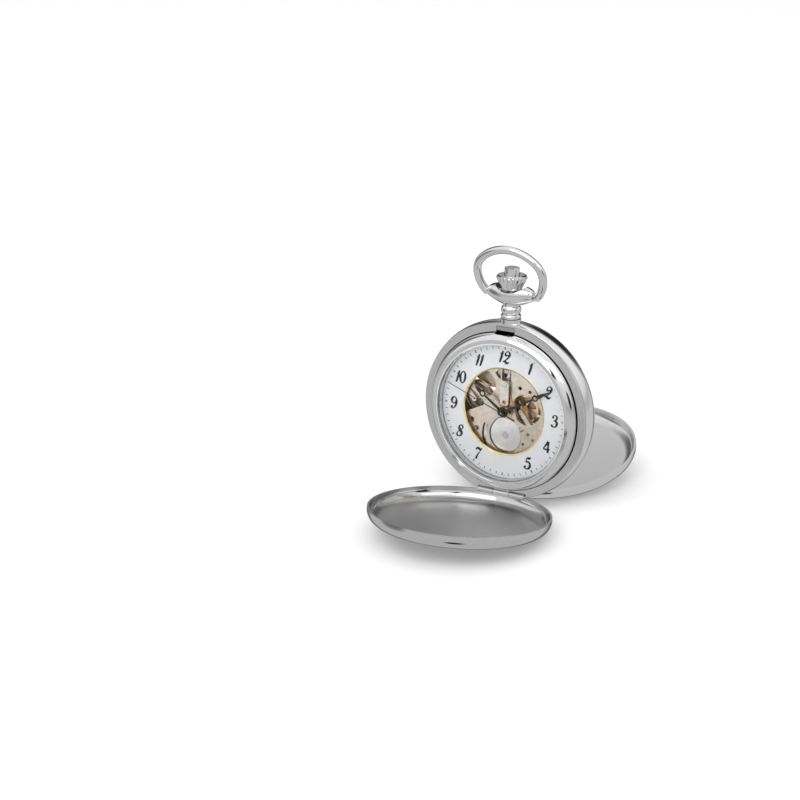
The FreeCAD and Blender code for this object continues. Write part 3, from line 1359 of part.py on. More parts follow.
def make_mainplate():
    """The skeletonised mainplate: openings around the barrel, the train, the balance and the stem."""
    plate = Piece("mainplate")
    height = "plate_top - plate_low"
    plate.pad([("circle", "0", "0", "movement_radius - 0.02")], "plate_low", height)
    below, through = "plate_low - 0.5", "plate_top - plate_low + 1"
    pivot = "pivot_radius + running"
    # barrel opening, with a crescent beside it
    plate.cut([("circle",) + BARREL_XY + ("barrel_radius + 0.25",)], below, through)
    plate.cut([[
        ("-6.6", "-4.6", "7.4"),
        ("-5.2", "-12.4", "4"),
        ("-4.4", "-12.6", "-7.6"),
        ("-5.3", "-5.0", "1"),
    ]], below, through)
    # balance and lever window, crossed by one arm
    plate.cut([[
        ("-12.6", "3.0", "12"),
        ("-13.4", "-1.2", "1.2"),
        ("-12.0", "-2.2"),
        ("-7.4", "0.2", "1"),
        ("-6.6", "1.6"),
        ("-10.8", "4.6"),
    ]], below, through)
    plate.cut([[
        ("-10.2", "6.0"),
        ("-6.0", "3.2", "1.4"),
        ("-4.2", "4.4", "3"),
        ("-4.4", "9.2", "2.4"),
        ("-8.4", "9.4", "2.2"),
    ]], below, through)
    # train window on the right
    plate.cut([[
        ("2.1", "2.3"),
        ("3.4", "-1.9", "3.9"),
        ("9.4", "-1.6", "3.2"),
        ("9.0", "3.6", "3.8"),
    ]], below, through)
    # arms that carry the front pivots of the train and of the balance across the windows
    level = ("plate_low", height)
    plate.bar(THIRD_XY[0], THIRD_XY[1], "7.4", "-3.4", "0.6", *level)
    plate.bar(BALANCE_XY[0], BALANCE_XY[1], "-12.8", "5.2", "0.75", *level)
    plate.bar(LEVER_XY[0], LEVER_XY[1], ESCAPE_XY[0], ESCAPE_XY[1], "0.6", *level)
    # centre hole, pivot holes and small holes
    plate.cut([
        ("circle", "0", "0", "centre_arbor_radius + running"),
        ("circle",) + THIRD_XY + (pivot,),
        ("circle",) + ESCAPE_XY + (pivot,),
        ("circle",) + LEVER_XY + (pivot,),
        ("circle",) + BALANCE_XY + (pivot,),
        ("circle", "0", "motion_distance", pivot),
        ("circle", "4.9", "-4.6", "0.75"),
        ("circle", "6.9", "-5.6", "0.5"),
        ("circle", "8.4", "-7.0", "0.45"),
        ("circle", "5.4", "-8.6", "0.4"),
        ("circle", "-10.4", "-4.2", "0.8"),
        ("circle", "-8.8", "-6.4", "0.7"),
        ("circle", "7.2", "6.4", "0.5"),
        ("circle", "4.2", "7.0", "0.55"),
    ], below, through)
    # slot under the minute-wheel cock, and the window for the winding pinion
    plate.cut([[
        ("-3.4", "10.2", "3"),
        ("-1.8", "8.6"),
        ("-1.6", "12.0"),
    ]], below, through)
    plate.cut([box_loop("-1.4", "1.4", "8.3", "12.3")], below, through)
    plate.cut([box_loop("-stem_radius - 0.1", "stem_radius + 0.1", "6.6", "movement_radius + 1")],
              "plate_low - 0.5", "stem_radius - plate_low + 0.6")
    plate.cut([("circle", x, y, "screw_radius + 0.05") for x, y in DIAL_SIDE_SCREWS],
              "plate_top - screw_depth - 0.1", "screw_depth + 0.2")
    finish_piece(plate)


def make_bridges():
    """Barrel bridge, train bridge, balance cock and pallet bridge."""
    height = "bridge_top - bridge_low"
    hole, hole_low, hole_depth = "screw_radius + 0.05", "bridge_low - 0.1", "screw_depth + 0.2"
    barrel_bridge = Piece("barrel_bridge")
    barrel_bridge.pad([[
        ("-8.8", "-15.6", "17.9"),
        ("8.8", "-15.6"),
        ("7.2", "-3.9"),
        ("-7.2", "-3.9"),
    ]], "bridge_low", height)
    barrel_bridge.pad([("circle",) + foot + ("pillar_radius",) for foot in BARREL_BRIDGE_FEET],
                      "bridge_low", "plate_low - bridge_low")
    barrel_bridge.cut([("circle",) + foot + (hole,) for foot in BARREL_BRIDGE_FEET], hole_low, hole_depth)
    barrel_bridge.cut([("circle",) + BARREL_XY + ("pillar_radius + running",)], "bridge_low - 0.5",
                      "bridge_top - bridge_low + 1")
    finish_piece(barrel_bridge)

    train_bridge = Piece("train_bridge")
    train_bridge.pad([[
        ("-6.6", "14.8", "17.8"),
        ("-12.6", "10.6"),
        ("-11.4", "7.0", "9"),
        ("-5.2", "4.6"),
        ("-5.2", "1.0", "3"),
        ("-2.0", "-3.5"),
        ("7.4", "-3.5"),
        ("11.2", "-8.6", "4"),
        ("15.4", "-5.4", "17.8"),
        ("8.4", "14.4", "17.8"),
    ]], "bridge_low", height)
    train_bridge.pad([("circle",) + foot + ("pillar_radius",) for foot in TRAIN_BRIDGE_FEET],
                     "bridge_low", "plate_low - bridge_low")
    train_bridge.cut([("circle",) + foot + (hole,) for foot in TRAIN_BRIDGE_FEET], hole_low, hole_depth)
    train_bridge.cut([("circle",) + CROWN_WHEEL_XY + ("contrate_radius + 0.15",)], "bridge_low - 0.5",
                     "bridge_top - bridge_low + 1")
    jewelled = (THIRD_XY, ("0", "0"), ESCAPE_XY)
    train_bridge.cut([("circle",) + centre + ("jewel_radius",) for centre in jewelled],
                     "bridge_low - 0.5", "bridge_top - bridge_low + 1")
    train_bridge.pad([("circle",) + TRANSMISSION_XY + ("transmission_pivot",)], "winding_low",
                     "bridge_low - winding_low + 0.1")
    finish_piece(train_bridge)

    cock = Piece("balance_cock")
    cock.pad([[
        ("-16.2", "7.0", "17.9"),
        ("-13.4", "-11.6"),
        ("-9.0", "-8.6"),
        ("-8.2", "-3.6"),
        ("-6.1", "0.4"),
        ("-6.1", "3.4"),
        ("-11.8", "5.9"),
    ]], "bridge_low", height)
    cock.pad([("circle",) + COCK_FOOT + ("1.5",)], "bridge_low", "plate_low - bridge_low")
    cock.cut([("circle",) + COCK_FOOT + (hole,)], hole_low, hole_depth)
    cock.cut([("circle",) + BALANCE_XY + ("jewel_radius",)], "bridge_low - 0.5",
             "bridge_top - bridge_low + 1")
    finish_piece(cock)

    pallet_bridge = Piece("pallet_bridge")
    pallet_bridge.bar("-8.4", "-2.4", LEVER_XY[0], LEVER_XY[1], "0.7", "pallet_bridge_low",
                      "pallet_bridge_thickness")
    pallet_bridge.pad([("circle", "-8.4", "-2.4", "0.7")], "pallet_bridge_low",
                      "plate_low - pallet_bridge_low")
    pallet_bridge.cut([("circle",) + LEVER_XY + ("pivot_radius",)], "pallet_bridge_low - 0.5", "1")
    finish_piece(pallet_bridge)

    minute_cock = Piece("minute_wheel_cock")
    cock_low = "(minute_cock_top - 0.3)"
    minute_cock.bar("0", "minute_cock_foot", "0", "motion_distance", "1.25", cock_low, "0.3")
    minute_cock.pad([("circle", "0", "minute_cock_foot", "0.9")], "plate_top", "minute_cock_top - plate_top")
    minute_cock.cut([("circle", "0", "motion_distance", "jewel_radius")], "2", "1")
    minute_cock.cut([("circle", "0", "minute_cock_foot", hole)], "minute_cock_top - screw_depth - 0.1",
                    "screw_depth + 0.2")
    finish_piece(minute_cock)


def make_levers():
    """The keyless levers under the dial, and the click on the bridge."""
    low = "(plate_top + 0.05)"
    setting_lever = Piece("setting_lever")
    setting_lever.bar("-2.2", "12.6", "-5.8", "11.4", "0.6", low, "0.3")
    setting_lever.pad([("circle", "-2.2", "12.6", "0.8")], low, "0.5")
    finish_piece(setting_lever)
    yoke = Piece("yoke")
    yoke.bar("2.3", "9.2", "6.4", "11.2", "0.4", low, "0.3")
    yoke.pad([("circle", "6.4", "11.2", "0.9")], low, "0.45")
    finish_piece(yoke)
    spring = Piece("setting_spring")
    spring.bar("9.9", "0.3", "14.8", "0.3", "0.35", low, "0.25")
    spring.pad([("circle", "14.8", "0.3", "0.9")], low, "0.35")
    finish_piece(spring)
    click = Piece("click")
    click.bar("5.2", "-10.7", "7.0", "-12.2", "0.55", "winding_low", "bridge_low - winding_low")
    finish_piece(click)
    click_spring = Piece("click_spring")
    click_spring.bar("7.9", "-9.2", "8.3", "-12.8", "0.2", "winding_low", "bridge_low - winding_low")
    finish_piece(click_spring)


def screw(x, y, face, outward):
    """A slotted screw standing on a face; outward is +1 towards the dial and -1 towards the rear."""
    head_radius = measure("screw_head_radius")
    head_height = measure("screw_head_height")
    base = FreeCAD.Vector(x, y, face)
    out = FreeCAD.Vector(0, 0, outward)
    head = Part.makeCylinder(head_radius, head_height, base, out)
    depth = head_height * 0.6
    margin = 0.2
    slot_low = face + head_height - depth if outward > 0 else face - head_height - margin
    corner = FreeCAD.Vector(x - head_radius - margin, y - 0.125, slot_low)
    slot = Part.makeBox(2 * (head_radius + margin), 0.25, depth + margin, corner)
    shank = Part.makeCylinder(measure("screw_radius"), measure("screw_depth"), base, -out)
    return head.cut(slot).fuse(shank)


def make_screws():
    """The screws of the bridges, of the dial side and of the movement ring."""
    rear = measure("bridge_low")
    places = BARREL_BRIDGE_FEET + TRAIN_BRIDGE_FEET + [COCK_FOOT]
    places = [(measure(x), measure(y)) for x, y in places]
    add_shape("bridge_screws", Part.makeCompound([screw(x, y, rear, -1) for x, y in places]))
    top = measure("plate_top")
    screws = [screw(measure(x), measure(y), top, 1) for x, y in DIAL_SIDE_SCREWS]
    screws.append(screw(0, measure("minute_cock_foot"), measure("minute_cock_top"), 1))
    add_shape("dial_side_screws", Part.makeCompound(screws))
    low = measure("ring_low")
    add_shape("case_screws", Part.makeCompound([screw(p.x, p.y, low, -1) for p in ring_screw_places()]))
    winding_low = measure("winding_low")
    cap = post(1.3, winding_low - 0.25, winding_low - 0.03)
    shank = post(measure("crown_wheel_pivot"), winding_low - 0.1, measure("bridge_low") + 0.2)
    add_shape("crown_wheel_screw", place_at(joined(cap, shank), CROWN_WHEEL))


def ring_screw_places():
    radius = measure("(movement_radius + case_bore) / 2")
    return [polar(radius, math.radians(angle)) for angle in (35, 155, 275)]


def make_jewels():
    """Pressed ruby bearings in the bridges and in the minute-wheel cock."""
    radius = measure("jewel_radius")
    pivot = measure("pivot_radius + running")
    low, top = measure("bridge_low + 0.1"), measure("bridge_top")
    stones = [place_at(post(radius, low, top, pivot), place) for place in (THIRD, CENTRE, ESCAPE, BALANCE)]
    stones.append(place_at(post(radius, 2.3, 2.55, pivot), MOTION))
    add_shape("jewels", Part.makeCompound(stones))


# ---------------------------------------------------------------------------------------------------------
# Building and placing
# ---------------------------------------------------------------------------------------------------------

make_case_middle()
make_pendant()
make_bow()
make_crown()
make_stem()
make_pull_ring()
make_button()
make_latch()
make_case_springs()
for side in ("front", "rear"):
    make_bezel("%s_bezel" % side)
    make_crystal("%s_crystal" % side, "crystal_dome")
    make_gasket("%s_gasket" % side)
    make_cover("%s_cover" % side)
make_hinge_pins()
make_dial()
make_pomme_hand("hour_hand", "hour_hand_low", "hour_length", "hour_eye", "hour_pipe_radius", "1.55", "0.95")
make_pomme_hand("minute_hand", "minute_hand_low", "minute_length", "minute_eye", "cannon_radius",
                "1.2", "0.9")
make_seconds_hand()
make_going_train()
make_escapement()
make_motion_work()
make_winding_work()
make_movement_ring()
make_mainplate()
make_bridges()
make_levers()
make_screws()
make_jewels()
document.recompute()

X_AXIS = FreeCAD.Vector(1, 0, 0)
Y_AXIS = FreeCAD.Vector(0, 1, 0)
Z_AXIS = FreeCAD.Vector(0, 0, 1)


def about(axis, degrees, centre=FreeCAD.Vector(0, 0, 0)):
    """The placement that turns about an axis through a centre."""
    return FreeCAD.Placement(FreeCAD.Vector(0, 0, 0), FreeCAD.Rotation(axis, degrees), centre)


flipped = about(Y_AXIS, 180)
bow_pivot = vector("0", "bow_pivot_height", "0")
front_hinge = vector("0", "-hinge_distance", "hinge_height")
rear_hinge = vector("0", "-hinge_distance", "-hinge_height")
front_open = about(X_AXIS, measure("front_opening"), front_hinge)
rear_open = about(X_AXIS, -measure("rear_opening"), rear_hinge)

local = {label: FreeCAD.Placement(piece.Placement) for label, piece in pieces.items()}
for label in ("rear_bezel", "rear_crystal", "rear_gasket"):
    local[label] = flipped
local["bow"] = about(X_AXIS, measure("bow_lean"), bow_pivot)
local["front_cover"] = front_open
local["rear_cover"] = rear_open * flipped
for label, hinge in (("front_hinge_pin", front_hinge), ("rear_hinge_pin", rear_hinge)):
    start = hinge - vector("knuckle_end", "0", "0")
    local[label] = FreeCAD.Placement(start, FreeCAD.Rotation(Y_AXIS, 90))
for label, angle in (("hour_hand", "hour_angle"), ("minute_hand", "minute_angle"),
                     ("seconds_hand", "seconds_angle")):
    local[label] = about(Z_AXIS, -measure(angle))

# The open covers stand on their shoulders. The line under both shoulder arcs is the surface.
shoulder_y = measure("shoulder_radius - cover_radius")
shoulder_z = measure("case_half + cover_gap + cover_lip")
front_centre = front_open.multVec(FreeCAD.Vector(0, shoulder_y, shoulder_z))
rear_centre = rear_open.multVec(FreeCAD.Vector(0, shoulder_y, -shoulder_z))
lean = math.degrees(math.atan2(front_centre.y - rear_centre.y, front_centre.z - rear_centre.z))
upright = about(X_AXIS, 90 + lean)
support = upright.multVec(front_centre).z - measure("shoulder_radius")
far_front = upright.multVec(front_open.multVec(vector("0", "cover_radius", "case_half + cover_gap")))
far_rear = upright.multVec(rear_open.multVec(vector("0", "cover_radius", "-case_half - cover_gap")))
middle = (far_front.y + far_rear.y) / 2
stand = FreeCAD.Placement(FreeCAD.Vector(0, -middle, -support), FreeCAD.Rotation())

for label, piece in pieces.items():
    piece.Placement = stand * upright * local[label]
document.recompute()

# ---------------------------------------------------------------------------------------------------------
# Checking and writing
# ---------------------------------------------------------------------------------------------------------

for item in document.Objects:
    if "Invalid" in item.State or "Error" in item.State:
        raise RuntimeError("%s did not build: %s" % (item.Label, item.State))
for feature in cut_features:
    if feature.Shape.Volume >= feature.BaseFeature.Shape.Volume - 1e-6:
        owner = feature.getParentGeoFeatureGroup()
        raise RuntimeError("%s in %s cuts nothing" % (feature.Label, owner.Label))
for label, piece in pieces.items():
    if piece.Shape.isNull() or not piece.Shape.isValid():
        raise RuntimeError("%s has no valid shape" % label)

os.makedirs("parts", exist_ok=True)
for label, piece in pieces.items():
    piece.Shape.exportStep("parts/%s.step" % label)

print("pieces %d, lean %.3f, shift %.4f, support %.4f" % (len(pieces), lean, -middle, -support))
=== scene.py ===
"""The looks of a double-hunter pocket watch that stands open on its two covers."""

import json
import math

import bmesh
import bpy
from mathutils import Matrix, Vector


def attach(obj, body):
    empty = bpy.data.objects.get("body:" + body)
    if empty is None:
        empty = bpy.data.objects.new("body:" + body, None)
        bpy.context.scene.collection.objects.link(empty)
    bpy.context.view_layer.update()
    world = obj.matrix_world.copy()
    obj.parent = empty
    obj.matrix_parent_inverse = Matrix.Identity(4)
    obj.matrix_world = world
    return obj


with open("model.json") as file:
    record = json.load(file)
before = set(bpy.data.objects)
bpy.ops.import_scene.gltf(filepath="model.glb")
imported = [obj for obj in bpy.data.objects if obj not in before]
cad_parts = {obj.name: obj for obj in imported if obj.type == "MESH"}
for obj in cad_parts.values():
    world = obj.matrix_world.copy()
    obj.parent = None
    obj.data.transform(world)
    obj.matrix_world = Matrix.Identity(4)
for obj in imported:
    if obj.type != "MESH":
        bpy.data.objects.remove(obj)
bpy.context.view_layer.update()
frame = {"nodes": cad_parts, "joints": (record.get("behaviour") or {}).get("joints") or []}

MM = 0.001


# ---------------------------------------------------------------- the watch's own frame

joints = {joint["name"]: joint for joint in frame["joints"]}
OUT = -Vector(joints["seconds_turn"]["axis"])      # out of the dial
UP = Vector(joints["crown_turn"]["axis"])          # towards 12 o'clock
RIGHT = UP.cross(OUT)                              # towards 3 o'clock
CENTRE = Vector(joints["seconds_turn"]["pos_m"])
WATCH_AXES = Matrix((RIGHT, UP, OUT)).transposed().to_4x4()
TO_WORLD = Matrix.Translation(CENTRE) @ WATCH_AXES @ Matrix.Scale(MM, 4)
TO_WATCH = TO_WORLD.inverted()


def points_of(node):
    """The corners of a node in the watch's frame, in millimetres."""
    return [TO_WATCH @ vertex.co for vertex in frame["nodes"][node].data.vertices]


def reach(node, axis):
    """How far a node reaches along one of the watch's axes."""
    return max(getattr(point, axis) for point in points_of(node))


def arbor(joint):
    """Where a wheel's axis stands in the dial's plane."""
    place = TO_WATCH @ Vector(joints[joint]["pos_m"])
    return Vector((place.x, place.y, 0.0))


DIAL_TOP = reach("dial", "z")
BEZEL_RADIUS = reach("front_bezel", "x")
CRYSTAL_RADIUS = reach("front_crystal", "x")
BEZEL_OPENING = min(point.xy.length for point in points_of("front_bezel"))
RIM_HEIGHT = reach("front_latch", "z")             # the latch lies flush in the front rim


# ---------------------------------------------------------------- shader helpers


NOISE_LOW, NOISE_HIGH = 0.3, 0.7      # nearly all of a noise texture's values lie between these
NOISE_ROUGHNESS = 0.55
RING_LENGTHS = 1.5                    # changes of tone per radian along a turned ring


class Look:
    """A procedural material on one Principled shader, in the watch's own millimetres."""

    def __init__(self, name, about=(0, 0, 0), **sockets):
        self.material = bpy.data.materials.new(name)
        self.material.use_nodes = True
        self.nodes = self.material.node_tree.nodes
        self.links = self.material.node_tree.links
        self.shader = self.nodes["Principled BSDF"]
        for socket, value in sockets.items():
            self.shader.inputs[socket.replace("_", " ")].default_value = value
        place = self.nodes.new("ShaderNodeTexCoord")
        mapping = self.nodes.new("ShaderNodeMapping")
        mapping.vector_type = "TEXTURE"
        mapping.inputs["Location"].default_value = TO_WORLD @ Vector(about)
        mapping.inputs["Rotation"].default_value = TO_WORLD.to_euler()
        mapping.inputs["Scale"].default_value = (MM, MM, MM)
        self.links.new(place.outputs["Object"], mapping.inputs["Vector"])
        self.normal = place.outputs["Normal"]
        self.here = mapping.outputs["Vector"]

    def math(self, operation, first, second=0.0):
        node = self.nodes.new("ShaderNodeMath")
        node.operation = operation
        for socket, value in zip(node.inputs, (first, second)):
            self.feed(socket, value)
        return node.outputs[0]

    def feed(self, socket, value):
        if isinstance(value, bpy.types.NodeSocket):
            self.links.new(value, socket)
        else:
            socket.default_value = value

    def part(self, axis):
        node = self.nodes.new("ShaderNodeSeparateXYZ")
        self.links.new(self.here, node.inputs[0])
        return node.outputs[axis]

    def radius(self):
        squares = [self.math("POWER", self.part(axis), 2.0) for axis in "XY"]
        return self.math("SQRT", self.math("ADD", *squares))

    def along(self, direction):
        """How far the surface faces a fixed direction, at rest."""
        node = self.nodes.new("ShaderNodeVectorMath")
        node.operation = "DOT_PRODUCT"
        self.links.new(self.normal, node.inputs[0])
        node.inputs[1].default_value = direction
        return node.outputs["Value"]

    def stretch(self, x, y, z):
        node = self.nodes.new("ShaderNodeVectorMath")
        node.operation = "MULTIPLY"
        self.links.new(self.here, node.inputs[0])
        node.inputs[1].default_value = (x, y, z)
        return node.outputs[0]

    def vector(self, x, y, z):
        node = self.nodes.new("ShaderNodeCombineXYZ")
        for socket, value in zip(node.inputs, (x, y, z)):
            self.feed(socket, value)
        return node.outputs[0]

    def rings(self, per_mm):
        """Coordinates whose noise runs in fine circles about the watch's axis."""
        turn = self.math("ARCTAN2", self.part("Y"), self.part("X"))
        across = self.math("MULTIPLY", self.radius(), per_mm)
        return self.vector(across, self.math("MULTIPLY", turn, RING_LENGTHS), self.part("Z"))

    def noise(self, scale, vector=None, detail=4.0):
        node = self.nodes.new("ShaderNodeTexNoise")
        self.links.new(vector or self.here, node.inputs["Vector"])
        node.inputs["Scale"].default_value = scale
        node.inputs["Detail"].default_value = detail
        node.inputs["Roughness"].default_value = NOISE_ROUGHNESS
        return node.outputs["Fac"]

    def range(self, value, low, high, to_low, to_high):
        node = self.nodes.new("ShaderNodeMapRange")
        node.interpolation_type = "SMOOTHSTEP"
        limits = {"From Min": low, "From Max": high, "To Min": to_low, "To Max": to_high}
        for name, number in limits.items():
            node.inputs[name].default_value = number
        self.links.new(value, node.inputs["Value"])
        return node.outputs["Result"]

    def spread(self, noise, low, high):
        """A noise texture turned into values from low to high."""
        return self.range(noise, NOISE_LOW, NOISE_HIGH, low, high)

    def mask(self, value, start, full):
        """0 where the value is at start, 1 where it is at full."""
        return self.range(value, start, full, 0.0, 1.0)

    def blend(self, factor, first, second):
        """A colour between two colours."""
        node = self.nodes.new("ShaderNodeMix")
        node.data_type = "RGBA"
        self.feed(node.inputs[0], factor)
        self.feed(node.inputs[6], first)
        self.feed(node.inputs[7], second)
        return node.outputs[2]

    def set(self, **values):
        for socket, value in values.items():
            self.feed(self.shader.inputs[socket.replace("_", " ")], value)

    def bump(self, *layers):
        """Each layer is (height, depth in mm)."""
        before = None
        for height, depth in layers:
            node = self.nodes.new("ShaderNodeBump")
            node.inputs["Strength"].default_value = 1.0
            node.inputs["Distance"].default_value = depth * MM
            self.links.new(height, node.inputs["Height"])
            if before:
                self.links.new(before, node.inputs["Normal"])
            before = node.outputs["Normal"]
        self.links.new(before, self.shader.inputs["Normal"])


def grey(value, warm=0.0):
    return (value + warm, value, value - warm, 1.0)


def opaque(colour):
    return (*colour, 1.0)


def darker(colour, share):
    return opaque(share * part for part in colour)


# ---------------------------------------------------------------- metals


POLISHED_ROUGHNESS = (0.055, 0.11)
SATIN_ROUGHNESS = (0.24, 0.34)
# the near-black tone painted into seams as shade between parts
PAINTED_SEAM_SHADE_TONE = 0.012


def polished(name, tone, satin=None, seam=None, circled=True):
    """Mirror polish with faint hairlines; where satin is 1 the metal is satin instead, brushed in circles
    or evenly frosted, and where seam is 1 it is painted near-black: painted shade in the groove between
    parts."""
    look = Look(name, Metallic=1.0)
    hairlines = look.noise(1.0, look.stretch(9.0, 0.8, 9.0), 3.0)
    haze = look.noise(0.35, None, 2.0)
    mask = satin(look) if satin else 0.0
    gloss = look.spread(haze, *POLISHED_ROUGHNESS)
    grain = look.noise(1.0, look.rings(14.0), 2.0) if circled else look.noise(24.0, None, 2.0)
    brushed = look.spread(grain, *SATIN_ROUGHNESS)
    step = look.math("MULTIPLY", look.math("SUBTRACT", brushed, gloss), mask)
    # the seam mask darkens the base colour to near-black: painted shade in the groove between parts
    painted_seam_shade = seam(look) if seam else 0.0
    look.set(Roughness=look.math("ADD", look.math("ADD", gloss, step), look.math("MULTIPLY", painted_seam_shade, 0.5)))
    shine = look.blend(look.mask(hairlines, 0.35, 0.65), grey(tone), grey(tone + 0.05))
    dull = look.blend(brushed, grey(tone - 0.14), grey(tone - 0.04))
    look.set(Base_Color=look.blend(painted_seam_shade, look.blend(mask, shine, dull), grey(PAINTED_SEAM_SHADE_TONE)))
    look.bump((hairlines, 0.0004), (look.math("MULTIPLY", grain, mask), 0.004 if circled else 0.0006))
    return look.material


# How far outside the bezel's radius the zones of the rim's front lie: the groove painted dark as shade, the
# brushed ring.
GROOVE_FLOOR = (0.30, 0.26)
GROOVE_EDGE = (0.33, 0.29)
BRUSHED_RING = (0.1, 0.4)
FRONT_FACING = (0.75, 0.9)       # start and full strength of what counts as facing out of the dial
COVER_FACING = (0.55, 0.8)       # and as facing out of a cover's hollow
SEAM_DEPTH = (0.02, -0.03)       # above and below the rim's front
BEZEL_SEAM_DEPTH = (0.10, 0.02)
WALL_DEPTH = (0.12, 0.02)        # outside the bezel's opening


def beyond(radius, zone):
    return [radius + distance for distance in zone]


def front_rim(look):
    """The flat front ring of the case, outside the bezel."""
    front = look.mask(look.along(OUT), *FRONT_FACING)
    return look.math("MULTIPLY", front, look.mask(look.radius(), *beyond(BEZEL_RADIUS, BRUSHED_RING)))


def rim_seam(look):
    """The narrow groove between the case rim and the bezel, where the metal is painted dark as shade."""
    inside = look.mask(look.radius(), *beyond(BEZEL_RADIUS, GROOVE_EDGE))
    deep = look.mask(look.math("ABSOLUTE", look.part("Z")), *beyond(RIM_HEIGHT, SEAM_DEPTH))
    floor = look.mask(look.radius(), *beyond(BEZEL_RADIUS, GROOVE_FLOOR))
    return look.math("MULTIPLY", inside, look.math("MAXIMUM", deep, floor))


def bezel_wall(look):
    """The wall between the crystal and the dial, turned but not polished."""
    return look.mask(look.radius(), *beyond(BEZEL_OPENING, WALL_DEPTH))


def bezel_seam(look):
    """The buried outer wall of a bezel, painted dark as shade in the gap to the rim."""
    return look.mask(look.math("ABSOLUTE", look.part("Z")), *beyond(RIM_HEIGHT, BEZEL_SEAM_DEPTH))


def facing(direction):
    """A mask for the side of a cover that faces this way at rest."""
    return lambda look: look.mask(look.along(direction), *COVER_FACING)


def steel(name, tone, rough, brush=(1.0, 16.0, 1.0), warm=0.0):
    """Brushed steel; brush holds the grain's fineness along the watch's three axes."""
    look = Look(name, Metallic=1.0)
    grain = look.noise(1.0, look.stretch(*brush), 4.0)
    patch = look.noise(0.9, None, 3.0)
    look.set(Roughness=look.spread(grain, rough - 0.07, rough + 0.09))
    look.set(Base_Color=look.blend(patch, grey(tone - 0.08, warm), grey(tone + 0.08, warm)))
    look.bump((grain, 0.003))
    return look.material


def gilt(name, colour, about=(0, 0, 0)):
    """Gilt brass, turned in fine circles about its own arbor."""
    look = Look(name, about, Metallic=1.0)
    turned = look.noise(1.0, look.rings(18.0), 2.0)
    tarnish = look.noise(1.3, None, 4.0)
    look.set(Base_Color=look.blend(look.mask(tarnish, 0.35, 0.7), opaque(colour), darker(colour, 0.78)))
    look.set(Roughness=look.spread(turned, 0.16, 0.30))
    look.bump((turned, 0.003))
    return look.material


def plating(name, colour, stripes=0.0):
    """Frosted rose-nickel plate; stripes is the spacing of the broad polishing stripes, where it has them."""
    look = Look(name, Metallic=1.0)
    frost = look.noise(22.0, None, 3.0)
    cloud = look.noise(0.7, None, 3.0)
    look.set(Base_Color=look.blend(look.mask(cloud, 0.35, 0.65), opaque(colour), darker(colour, 0.84)))
    look.set(Roughness=look.spread(frost, 0.30, 0.44))
    layers = [(frost, 0.006)]
    if stripes:
        across = look.math("ADD", look.part("X"), look.part("Y"))
        wave = look.math("SINE", look.math("MULTIPLY", across, 2.0 * math.pi / stripes))
        layers.append((wave, 0.012))
    look.bump(*layers)
    return look.material


def lacquer(name):
    look = Look(name, Specular_IOR_Level=0.35, Coat_Weight=0.15, Coat_Roughness=0.2)
    cloud = look.noise(6.0, None, 3.0)
    look.set(Base_Color=look.blend(cloud, grey(0.004), grey(0.010)))
    look.set(Roughness=look.spread(cloud, 0.34, 0.46))
    look.bump((look.noise(30.0), 0.0008))
    return look.material


DIAL_WHITE = (0.99, 0.99, 1.0, 1.0)
DIAL_SILVER = (0.90, 0.925, 0.97, 1.0)


def dial_finish():
    """Grained white with a silver cast."""
    look = Look("dial_silvered_white", Specular_IOR_Level=0.4, Sheen_Weight=0.05)
    grain = look.noise(26.0, None, 3.0)
    cloud = look.noise(0.12, None, 2.0)
    shade = look.math("MULTIPLY", cloud, look.spread(grain, 0.5, 1.0))
    look.set(Base_Color=look.blend(shade, DIAL_WHITE, DIAL_SILVER))
    look.set(Roughness=look.spread(grain, 0.38, 0.55))
    look.bump((grain, 0.004))
    return look.material


CLEAR = (0.985, 0.99, 0.99, 1.0)
GROUND_EDGE = (-0.08, -0.03)     # from the crystal's own radius


def crystal():
    """Clear in the middle, with a ground edge where it sits in its gasket."""
    look = Look("crystal_clear", IOR=1.18)
    ground = look.mask(look.radius(), *beyond(CRYSTAL_RADIUS, GROUND_EDGE))
    clear_gloss = look.spread(look.noise(0.5), 0.0, 0.012)
    look.set(Base_Color=look.blend(ground, CLEAR, grey(0.66)))
    look.set(Transmission_Weight=look.math("SUBTRACT", 1.0, ground))
    look.set(Roughness=look.math("ADD", clear_gloss, look.math("MULTIPLY", ground, 0.6)))
    return look.material


def rubber():
    look = Look("seal_pale_rubber", Specular_IOR_Level=0.3)
    grain = look.noise(20.0)
    look.set(Base_Color=look.blend(grain, grey(0.62), grey(0.70)))
    look.set(Roughness=look.spread(grain, 0.6, 0.85))
    look.bump((grain, 0.01))
    return look.material


def ruby():
    look = Look("ruby_pink", Transmission_Weight=0.45, IOR=1.76)
    cloud = look.noise(5.0)
    look.set(Base_Color=look.blend(cloud, (0.80, 0.06, 0.16, 1.0), (0.55, 0.01, 0.08, 1.0)))
    look.set(Roughness=look.spread(cloud, 0.04, 0.12))
    return look.material


def finish_node(material, *nodes):
    """Gives CAD nodes their one material."""
    for node in nodes:
        slots = frame["nodes"][node].data.materials
        slots.clear()
        slots.append(material)


def hollow_side(hinge, closed):
    """Where a cover's hollow faces at rest; closed is where it faces with the cover shut."""
    angle = math.radians(joints[hinge]["range_deg"][0])
    return Matrix.Rotation(-angle, 3, Vector(joints[hinge]["axis"])) @ closed


FRONT_HOLLOW = hollow_side("front_cover_hinge", -OUT)
REAR_HOLLOW = hollow_side("rear_cover_hinge", OUT)
ALONG_STEM = (12.0, 1.0, 12.0)
ALONG_PIN = (14.0, 1.0, 14.0)
STRIPE_SPACING = 1.6
